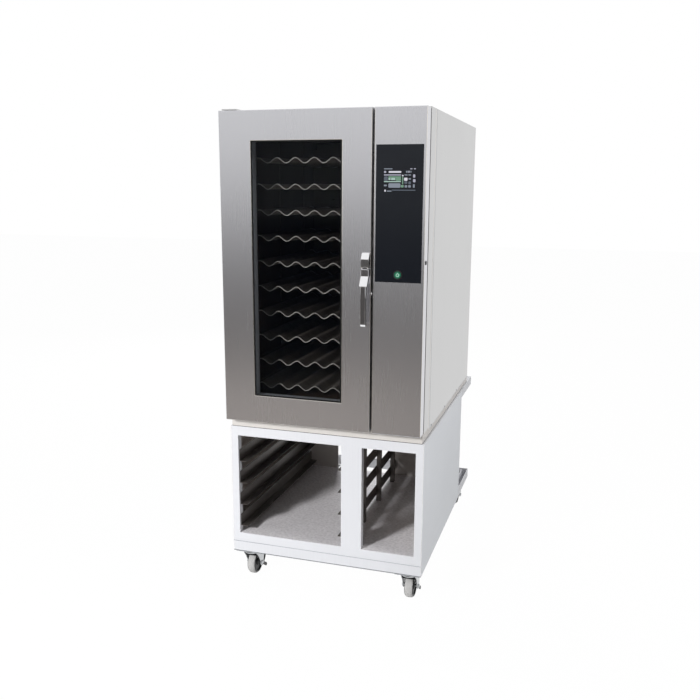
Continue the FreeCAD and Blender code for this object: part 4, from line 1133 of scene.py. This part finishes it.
@dataclass
class Casing(Assembly):
    """Outer sheets, base, hinge plates, screws, and the louvred back."""

    finishes = {
        "brushed_stainless_casing": ("left_side_panel", "right_side_panel", "top_panel", "face_frame",
                                     "rear_panel", "hinge_plates"),
        "satin_stainless_base": ("base_chassis",),
        "dark_moulded_nylon": ("cable_gland", "contactors"),
        "machined_brass": ("steam_injector",),
        "painted_shade_stainless": ("vent_pipe",),
        "galvanised_sheet": ("inner_bulkheads",),
        "mineral_wool": ("insulation",),
    }
    screw_y_mm: tuple[float, ...] = (-384.0, -95.0, 207.0)
    screw_z_mm: float = 718.0
    # Depth and height of the fascia's screw.
    fascia_screw_mm: Pair = (-567.0, 1382.0)
    fascia_screw_size: float = 1.6
    # Section of a screw head, out from its axis and up, then the four petals that leave its cross:
    # half the slot and their tip, their first and last angle, and their foot and top.
    screw_mm: tuple[Pair, ...] = ((0.0, 0.0), (5.0, 0.0), (5.0, 0.6), (4.3, 1.2), (0.0, 1.2))
    petal_mm: Pair = (0.65, 3.7)
    petal_deg: Pair = (12.0, 78.0)
    petal_rise_mm: Pair = (1.1, 1.9)
    petal_round_mm: float = 0.25
    # Screws across the back and up each of its sides.
    rear_screws: tuple[int, int] = (4, 6)
    rear_inset_mm: float = 14.0
    corner_mm: float = 2.0
    corner_sunk: float = 0.7
    corner_short_mm: float = 2.0
    seam_mm: float = 0.6
    seam_back_mm: float = 22.0
    seam_sunk_mm: float = 0.2
    seam_short_mm: float = 1.0
    joint_mm: float = 1.5
    joint_sunk: Pair = (0.5, 0.4)
    louvre_pitch_mm: float = 22.0
    louvre_rows: int = 10
    louvre_columns_mm: tuple[float, ...] = (-200.0, -100.0, 0.0)
    # The single column at the side: its middle and its lowest row.
    louvre_side_mm: Pair = (320.0, 877.0)
    louvre_half_mm: float = 38.0
    # Curved blade of a louvre and the cheek that closes its end, out from the sheet and up.
    blade_mm: tuple[Pair, ...] = ((-0.2, 8.6), (1.2, 8.2), (4.4, 3.0), (6.0, -3.4), (5.0, -3.4), (3.5, 2.6),
                                  (0.6, 7.0), (-0.2, 7.2))
    cheek_mm: tuple[Pair, ...] = ((-0.2, 8.4), (1.1, 8.0), (4.3, 2.9), (5.8, -3.2), (-0.2, -3.2))
    # Both faces of a cheek, in from the blade's end.
    cheek_at_mm: Pair = (0.1, 0.9)

    def build(self) -> None:
        """Build the screws, the bright front corners, the seams and the louvres."""
        self.build_screws()
        self.build_corners()
        self.build_seams()
        self.build_louvres()

    def screw_head(self) -> Mesh:
        """Build a raised head with a cross recess, facing up.

        Returns:
            Its mesh.
        """
        (slot, tip), (low, high) = ([v * MM for v in pair] for pair in (self.petal_mm, self.petal_rise_mm))
        petal = [(slot, slot)] + arc(ORIGIN, tip, *self.petal_deg, 5)
        bm = bmesh.new()
        add_lathe(bm, [(r * MM, z * MM) for r, z in self.screw_mm], ORIGIN, Axis.UPRIGHT, steps=24)
        for i, j in ((1, 1), (-1, 1), (-1, -1), (1, -1)):
            add_prism(bm, [(i * x, j * y) for x, y in petal], Axis.UPRIGHT, low, high)
        return finish_mesh(bm, "screw_head", self.petal_round_mm, 1)

    def build_screws(self) -> None:
        """Put cross-recess screws along the foot of both sides, one in the fascia and some round the back."""
        edge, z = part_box("right_side_panel")[1].x, self.screw_z_mm * MM
        self.shop.scatter(
            Piece("panel_screw_heads", "bright_zinc_plate", "zinc_plated", ROOT, ("panel_screws",)),
            self.screw_head(),
            [((s * edge, y * MM, z), (float(s), 0.0, 0.0)) for s in (-1, 1) for y in self.screw_y_mm])
        y, z = (v * MM for v in self.fascia_screw_mm)
        self.shop.scatter(Piece("fascia_screw_head", "black_enamel", "castor_black"), self.screw_head(),
                          [((edge, y, z), (1.0, 0.0, 0.0))], self.fascia_screw_size)
        low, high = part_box("rear_panel")
        inset, (across, up) = self.rear_inset_mm * MM, self.rear_screws
        x0, x1, z0, z1 = low.x + inset, high.x - inset, low.z + inset, high.z - inset
        rim = [(x0 + (x1 - x0) * i / (across - 1), z) for i in range(across) for z in (z0, z1)]
        rim += [(x, z0 + (z1 - z0) * i / (up - 1)) for i in range(1, up - 1) for x in (x0, x1)]
        self.shop.scatter(Piece("rear_screw_heads", "bright_zinc_plate", "zinc_plated"), self.screw_head(),
                          [((x, high.y, z), (0.0, 1.0, 0.0)) for x, z in rim])

    def build_corners(self) -> None:
        """Round the front corners of both side sheets with a bright folded edge."""
        low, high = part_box("right_side_panel")
        inset, short = self.corner_sunk * self.corner_mm * MM, self.corner_short_mm * MM
        side, y = high.x - inset, low.y + inset
        self.shop.wire(Piece("casing_corners", "polished_stainless_trim", "stainless_brushed"),
                       [[(x, y, low.z + short), (x, y, high.z - short)] for x in (-side, side)],
                       self.corner_mm)

    def build_seams(self) -> None:
        """Seal the upright joint in each side and the foot of its sheet, and paint the shadow gap on the
        stand with a black bead.
        """
        low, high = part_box("right_side_panel")
        x, y = high.x - self.seam_sunk_mm * MM, low.y + self.seam_back_mm * MM
        short = self.seam_short_mm * MM
        self.shop.wire(Piece("casing_seams", "grey_joint_sealant", "stainless_brushed"),
                       [[(s * x, y, high.z - short), (s * x, y, low.z), (s * x, high.y - short, low.z)]
                        for s in (-1, 1)], self.seam_mm)
        # A black bead stands in for the shadow gap where the casing sits on the stand: painted shadow.
        low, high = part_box("base_chassis")
        inset, lift = (share * self.joint_mm * MM for share in self.joint_sunk)
        x, front, rear, z = high.x - inset, low.y + inset, high.y - inset, low.z + lift
        self.shop.wire(Piece("stand_joint", "black_silicone", "silicone_black"),
                       [[(-x, front, z), (x, front, z), (x, rear, z), (-x, rear, z)]], self.joint_mm, True)

    def louvre_head(self) -> Mesh:
        """Build one pressed louvre: a curved blade over its slot, with closed cheeks.

        Returns:
            Its mesh.
        """
        half = self.louvre_half_mm * MM
        blade, cheek = ([(y * MM, z * MM) for y, z in outline] for outline in (self.blade_mm, self.cheek_mm))
        bm = bmesh.new()
        add_prism(bm, blade, Axis.ACROSS, -half, half)
        for side in (-1, 1):
            add_prism(bm, cheek, Axis.ACROSS, *(side * (half - x * MM) for x in self.cheek_at_mm))
        return finish_mesh(bm, "louvre")

    def build_louvres(self) -> None:
        """Press louvres over the slots of the back sheet."""
        back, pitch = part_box("rear_panel")[1].y, self.louvre_pitch_mm * MM
        fans = (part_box("fan_wheel_lower"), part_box("fan_wheel_upper"))
        first = [(x, (low.z + high.z - pitch * (self.louvre_rows - 1)) / 2)
                 for low, high in fans for x in self.louvre_columns_mm]
        first.append((self.louvre_side_mm[0], self.louvre_side_mm[1] * MM))
        places = [((x * MM, back, z + row * pitch), UP) for x, z in first for row in range(self.louvre_rows)]
        self.shop.scatter(Piece("rear_louvres", "brushed_stainless_casing", "stainless_brushed"),
                          self.louvre_head(), places)


@dataclass
class Cavity(Assembly):
    """Liner, racks, trays with rolled rims, and the hot air parts behind them."""

    finishes = {
        # The liner and the hot air parts are painted dark for the shade inside the closed oven.
        "painted_shade_stainless": ("cavity_liner", "fan_baffle", "tray_racks", "fan_wheel_lower",
                                  "fan_wheel_upper", "heater_elements"),
        "cast_aluminium": ("fan_motors",),
        "black_silicone": ("door_gasket",),
    }
    tray_count: int = 10
    tray_pitch_mm: float = 100.0
    flute_count: int = 5
    flute_pitch_mm: float = 77.0
    flute_deep_mm: float = 20.0
    rim_mm: float = 7.5
    sheet_mm: float = 1.2
    hem_mm: float = 2.0
    wave_steps: int = 16

    def build(self) -> None:
        """Build the fluted trays, and the rolled rims on their waved front and back edges."""
        low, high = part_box("baking_trays")
        pitch, middle = self.tray_pitch_mm * MM, self.sheet_mm * MM / 2
        line = self.wave(low, high.x)
        self.shop.scatter(
            Piece("fluted_trays", "seasoned_aluminium", "tray_aluminium", ROOT, ("baking_trays",)),
            self.tray_sheet(line, low.y, high.y),
            [((0.0, 0.0, pitch * level), UP) for level in range(self.tray_count)])
        self.shop.wire(Piece("tray_rims", "rolled_aluminium_wire", "tray_aluminium"),
                       [[(x, y, z + middle) for x, z in line] for y in (low.y, high.y)], self.hem_mm,
                       levels=self.tray_count, pitch=pitch)

    def wave(self, low: Vector, far_x: float) -> list[Pair]:
        """Return the underside of the lowest tray's front edge, as (x, z) from rim to rim.

        Args:
            low: Lowest corner of the trays.
            far_x: Where the other rim ends.

        Returns:
            Points of the flat rims and of the flutes between them.
        """
        deep = self.flute_deep_mm * MM
        line = [(low.x, low.z + deep)]
        for i in range(self.flute_count * self.wave_steps + 1):
            x = low.x + (self.rim_mm + self.flute_pitch_mm * i / self.wave_steps) * MM
            line.append((x, low.z + deep * (1 + math.cos(2 * math.pi * i / self.wave_steps)) / 2))
        return line + [(far_x, low.z + deep)]

    def tray_sheet(self, line: Sequence[Pair], front: float, back: float) -> Mesh:
        """Build the lowest tray as a waved sheet with its thickness.

        Args:
            line: Underside of its front edge.
            front: Where it starts in depth.
            back: Where it ends.

        Returns:
            A closed mesh.
        """
        bm = bmesh.new()
        thick = self.sheet_mm * MM
        rows = [[bm.verts.new((x, y, z + lift)) for x, z in line]
                for y, lift in ((front, 0.0), (back, 0.0), (back, thick), (front, thick))]
        for one, two in zip(rows, rows[1:] + rows[:1]):
            for i in range(len(line) - 1):
                bm.faces.new((one[i], one[i + 1], two[i + 1], two[i]))
        bm.faces.new([row[0] for row in rows])
        bm.faces.new([row[-1] for row in reversed(rows)])
        return finish_mesh(bm, "tray_sheet")


@dataclass
class Door(Assembly):
    """Brushed shell, glazing, latch and the cranked chrome handle."""

    finishes = {
        "brushed_stainless_door": ("door_shell",),
        "brushed_stainless_casing": ("door_inner_panel", "latch_keeper", "hinge_blocks"),
        "anodised_spacer_bar": ("window_spacer",),
        "tinted_oven_glass": ("outer_glass", "inner_glass"),
        "black_silicone": ("window_seal",),
        "polished_chrome": ("latch_bolt",),
    }
    lip_mm: float = 1.2
    lip_round_mm: float = 4.0
    hem_mm: float = 1.6
    hem_short_mm: float = 4.0
    # The housing's flat top and the height of its sloping facet.
    facet_mm: Pair = (10.0, 22.0)
    pivot_mm: float = 8.0
    pin_share: float = 0.37
    pin_short_mm: float = 1.0
    wall_mm: float = 2.0
    roof_gap_mm: float = 0.8
    ear_mm: float = 7.8
    ear_inset_mm: float = 0.3
    ear_rise_mm: float = 2.0
    housing_round_mm: float = 0.8
    # The lever's knuckle by radius and half width, its head by height, slant and thickness, and its grip.
    knuckle_mm: Pair = (5.6, 6.4)
    lever_gap_mm: float = 0.6
    lever_mm: Point = (26.0, 32.0, 16.0)
    collar_mm: float = 3.0
    grip_mm: Pair = (20.0, 14.0)
    grip_inset_mm: float = 0.4
    grip_bite_mm: float = 1.0
    foot_mm: float = 8.0
    foot_share: float = 0.6
    lever_round_mm: float = 1.2
    lip_steps: int = 5
    turn_steps: int = 12

    def build(self) -> None:
        """Build the window's lip, the bottom hem and the handle."""
        self.build_edges()
        self.build_housing()
        self.build_lever()

    def build_edges(self) -> None:
        """Roll a bright lip round the window, and a hem along the door's bottom and latch edges."""
        low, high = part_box("window_seal")
        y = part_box("door_shell")[0].y
        ring = rounded((low.x, low.z), (high.x, high.z), self.lip_round_mm * MM, self.lip_steps)
        self.shop.wire(Piece("window_lip", "polished_stainless_trim", "stainless_brushed", "door"),
                       [[(x, y, z) for x, z in ring]], self.lip_mm, True)
        low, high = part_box("door_shell")
        r, short = self.hem_mm * MM, self.hem_short_mm * MM
        x, y, z = high.x - r, low.y + r, low.z + r
        self.shop.wire(Piece("door_hem", "polished_stainless_trim", "stainless_brushed", "door"),
                       [[(low.x + short, y, z), (x, y, z), (x, y, high.z - short)]], self.hem_mm)

    def build_housing(self) -> None:
        """Build the faceted shell on the door's face, with two ears round the pin."""
        low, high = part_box("handle_housing")
        r, wall, ear = self.pivot_mm * MM, self.wall_mm * MM, self.ear_mm * MM
        x, y, z = (low.x + high.x) / 2, low.y + r, low.z + r
        flat, facet = (v * MM for v in self.facet_mm)
        roof, pin = z + r + self.roof_gap_mm * MM, self.pin_share * r
        bm = bmesh.new()
        add_prism(bm, [(high.y, high.z), (high.y - flat, high.z), (low.y, high.z - facet), (low.y, z),
                       (low.y + wall, z), (low.y + wall, roof), (high.y, roof)], Axis.ACROSS, low.x, high.x)
        inset, short, top = self.ear_inset_mm * MM, self.pin_short_mm * MM, roof + self.ear_rise_mm * MM
        outline = [(high.y, z), (high.y, top), (low.y + inset, top)]
        outline += arc((y, z), r, 180, 360, self.turn_steps)
        for x0, x1 in ((low.x, x - ear), (x + ear, high.x)):
            add_prism(bm, outline, Axis.ACROSS, x0 + inset, x1 - inset)
        add_lathe(bm, rod(pin, low.x + short, high.x - short), (0.0, y, z), Axis.ACROSS, steps=24)
        self.shop.close(Piece("door_handle_housing", "polished_chrome", "chrome", "door",
                              ("handle_housing",)), bm, self.housing_round_mm)

    def build_lever(self) -> None:
        """Build the knuckle, the cranked head and the hanging grip with a cut-off foot."""
        low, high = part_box("handle_lever")
        r, foot = self.pivot_mm * MM, self.foot_mm * MM
        x, y, z = (low.x + high.x) / 2, high.y - r, high.z - r
        head, slant, thick = (v * MM for v in self.lever_mm)
        wide, deep = (v * MM for v in self.grip_mm)
        front, top = y - r, z - r - self.lever_gap_mm * MM
        bend, end = top - head, top - head - slant
        back, rear, collar = front + thick, low.y + deep, self.collar_mm * MM
        bm = bmesh.new()
        add_prism(bm, [(front, top), (front, bend), (low.y, end), (low.y, end - collar), (rear, end - collar),
                       (rear, end), (back, bend), (back, top)], Axis.ACROSS, low.x, high.x)
        inset, root = self.grip_inset_mm * MM, end - collar + self.grip_bite_mm * MM
        near, far, cut = low.y + inset, rear - inset, low.y + self.foot_share * foot
        add_prism(bm, [(near, root), (near, low.z + foot), (cut, low.z), (far, low.z), (far, root)],
                  Axis.ACROSS, x - wide / 2, x + wide / 2)
        barrel, half = (v * MM for v in self.knuckle_mm)
        neck = [(y - barrel, top - collar), (y + barrel, top - collar)]
        add_prism(bm, arc((y, z), barrel, 0, 180, self.turn_steps) + neck, Axis.ACROSS, x - half, x + half)
        self.shop.close(Piece("door_handle_lever", "polished_chrome", "chrome", "handle_lever",
                              ("handle_lever",)), bm, self.lever_round_mm)


class Shade(Enum):
    """Colours of the display's lit fields."""

    WHITE = "#DCDAE4"
    PALE = "#AEAEBE"
    GREY = "#828A96"
    DIM = "#505864"
    MINT = "#A6C2B8"
    GREEN = "#6E957C"


@dataclass(frozen=True)
class Tile:
    """One lit field of the display: its place as shares of the screen from top left, and its colour."""

    left: float
    right: float
    top: float
    bottom: float
    shade: Shade


@dataclass
class Controls(Assembly):
    """Fascia, black overlay, lit display and green power switch."""

    finishes = {
        "brushed_stainless_door": ("control_fascia",),
        "black_acrylic": ("control_overlay", "touch_screen"),
        "dark_moulded_nylon": ("power_switch_body",),
        "green_solder_mask": ("control_board",),
    }
    # How far a field stands in front of the screen and reaches into it.
    tile_mm: Pair = (0.25, 0.1)
    tile_round: float = 0.25
    tile_steps: int = 3
    margin_mm: float = 1.0
    dish_mm: float = 0.8
    # The mark's line, how far it stands out of the dish and reaches into it, its ring and its bar.
    mark_mm: float = 1.6
    mark_rise_mm: Pair = (0.2, 0.1)
    ring_share: float = 0.42
    ring_deg: Pair = (35.0, 325.0)
    ring_steps: int = 30
    bar_share: Pair = (0.1, 0.6)
    edge_mm: float = 1.6
    edge_short_mm: float = 3.0
    # Button, as shares of its radius and of its dish.
    cap: tuple[Pair, ...] = ((0.0, 1.0), (0.62, 1.0), (0.78, 0.5), (0.86, 0.0), (0.94, 0.1), (0.985, 0.6),
                             (1.0, 1.4))
    tiles: tuple[Tile, ...] = (
        # heading, clock and signal
        Tile(0.02, 0.28, 0.0, 0.04, Shade.GREY), Tile(0.83, 0.895, 0.0, 0.04, Shade.PALE),
        Tile(0.94, 1.0, 0.0, 0.04, Shade.PALE),
        # list of programs, the chosen one green
        Tile(0.02, 0.085, 0.11, 0.195, Shade.PALE), Tile(0.165, 0.555, 0.115, 0.19, Shade.WHITE),
        Tile(0.02, 0.55, 0.26, 0.305, Shade.PALE), Tile(0.02, 0.14, 0.345, 0.53, Shade.DIM),
        Tile(0.16, 0.55, 0.34, 0.405, Shade.GREEN), Tile(0.16, 0.225, 0.41, 0.5, Shade.MINT),
        Tile(0.24, 0.375, 0.41, 0.5, Shade.MINT), Tile(0.385, 0.55, 0.41, 0.53, Shade.GREEN),
        Tile(0.02, 0.55, 0.545, 0.59, Shade.MINT), Tile(0.02, 0.11, 0.7, 0.77, Shade.GREY),
        Tile(0.16, 0.535, 0.64, 0.83, Shade.GREY), Tile(0.585, 0.62, 0.35, 0.68, Shade.GREEN),
        # time, heat and steam of the chosen program
        Tile(0.7, 0.75, 0.105, 0.185, Shade.GREY), Tile(0.77, 0.81, 0.105, 0.185, Shade.PALE),
        Tile(0.835, 0.865, 0.105, 0.185, Shade.GREY), Tile(0.58, 0.625, 0.28, 0.34, Shade.WHITE),
        Tile(0.655, 0.75, 0.26, 0.305, Shade.GREY), Tile(0.775, 0.855, 0.26, 0.305, Shade.GREY),
        Tile(0.645, 0.75, 0.4, 0.53, Shade.WHITE), Tile(0.78, 0.855, 0.42, 0.48, Shade.GREY),
        Tile(0.655, 0.745, 0.545, 0.66, Shade.DIM), Tile(0.78, 0.855, 0.56, 0.68, Shade.DIM),
        Tile(0.545, 0.635, 0.71, 0.82, Shade.GREEN), Tile(0.665, 0.745, 0.72, 0.82, Shade.GREY),
        Tile(0.775, 0.855, 0.72, 0.82, Shade.GREY),
        # keys at the right and the line of hints below
        Tile(0.92, 0.985, 0.26, 0.395, Shade.PALE), Tile(0.92, 0.995, 0.46, 0.595, Shade.PALE),
        Tile(0.92, 0.975, 0.68, 0.825, Shade.GREY), Tile(0.035, 0.085, 0.92, 1.0, Shade.WHITE),
        Tile(0.115, 0.26, 0.955, 1.0, Shade.GREY), Tile(0.27, 1.0, 0.915, 0.955, Shade.DIM),
    )

    def build(self) -> None:
        """Build the fascia's edges, the display's fields, and the power button with its mark."""
        self.build_edges()
        self.build_display()
        self.build_button()

    def build_edges(self) -> None:
        """Fold bright edges down both sides of the fascia."""
        low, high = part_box("control_fascia")
        r, short = self.edge_mm * MM, self.edge_short_mm * MM
        y = low.y + r
        self.shop.wire(Piece("fascia_edges", "polished_stainless_trim", "stainless_brushed"),
                       [[(x, y, low.z + short), (x, y, high.z - short)] for x in (low.x + r, high.x - r)],
                       self.edge_mm)

    def build_display(self) -> None:
        """Lay the lit fields on the screen."""
        low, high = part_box("touch_screen")
        edge = self.margin_mm * MM
        left, top = low.x + edge, high.z - edge
        wide, tall = high.x - low.x - 2 * edge, high.z - low.z - 2 * edge
        front, back = low.y - self.tile_mm[0] * MM, low.y + self.tile_mm[1] * MM
        bm = bmesh.new()
        colour = bm.loops.layers.float_color.new("tile")
        for tile in self.tiles:
            x0, x1 = left + tile.left * wide, left + tile.right * wide
            z0, z1 = top - tile.bottom * tall, top - tile.top * tall
            outline = rounded((z0, x0), (z1, x1), self.tile_round * min(x1 - x0, z1 - z0), self.tile_steps)
            for face in add_prism(bm, outline, Axis.DEPTH, front, back):
                for loop in face.loops:
                    loop[colour] = linear(tile.shade.value)
        self.shop.close(Piece("display_fields", "backlit_display", "overlay_black"), bm)

    def build_button(self) -> None:
        """Turn the dished green cap, and print the common broken ring and bar on it."""
        low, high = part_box("power_button")
        x, y, z = (low.x + high.x) / 2, low.y, (low.z + high.z) / 2
        r, dish, deep, half = (high.x - low.x) / 2, self.dish_mm * MM, high.y - low.y, self.mark_mm * MM / 2
        bm = bmesh.new()
        cap = [(a * r, b * dish) for a, b in self.cap] + [(r, deep), (0.0, deep)]
        add_lathe(bm, cap, (x, y, z), Axis.DEPTH)
        self.shop.close(Piece("power_cap", "green_polycarbonate", "button_green", "power_button",
                              ("power_button",)), bm)
        ring, (first, last), steps = self.ring_share * r, self.ring_deg, self.ring_steps
        outline = arc((z, x), ring + half, first, last, steps) + arc((z, x), ring - half, last, first, steps)
        foot, head = (z + share * r for share in self.bar_share)
        bar = [(foot, x - half), (head, x - half), (head, x + half), (foot, x + half)]
        proud, sunk = (v * MM for v in self.mark_rise_mm)
        bm = bmesh.new()
        for form in (outline, bar):
            add_prism(bm, form, Axis.DEPTH, y + dish - proud, y + dish + sunk)
        self.shop.close(Piece("power_mark", "pale_screen_ink", "button_green", "power_button"), bm)


def main() -> None:
    """Build the studio and the object's sub-assemblies in order."""
    logging.basicConfig(level=logging.INFO, format="%(message)s")
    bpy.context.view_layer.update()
    Studio().build()
    shop = Workshop()
    for kind in (Stand, Castors, Casing, Cavity, Door, Controls):
        assembly = kind(shop)
        assembly.dress()
        assembly.build()


if __name__ == "__main__":
    main()
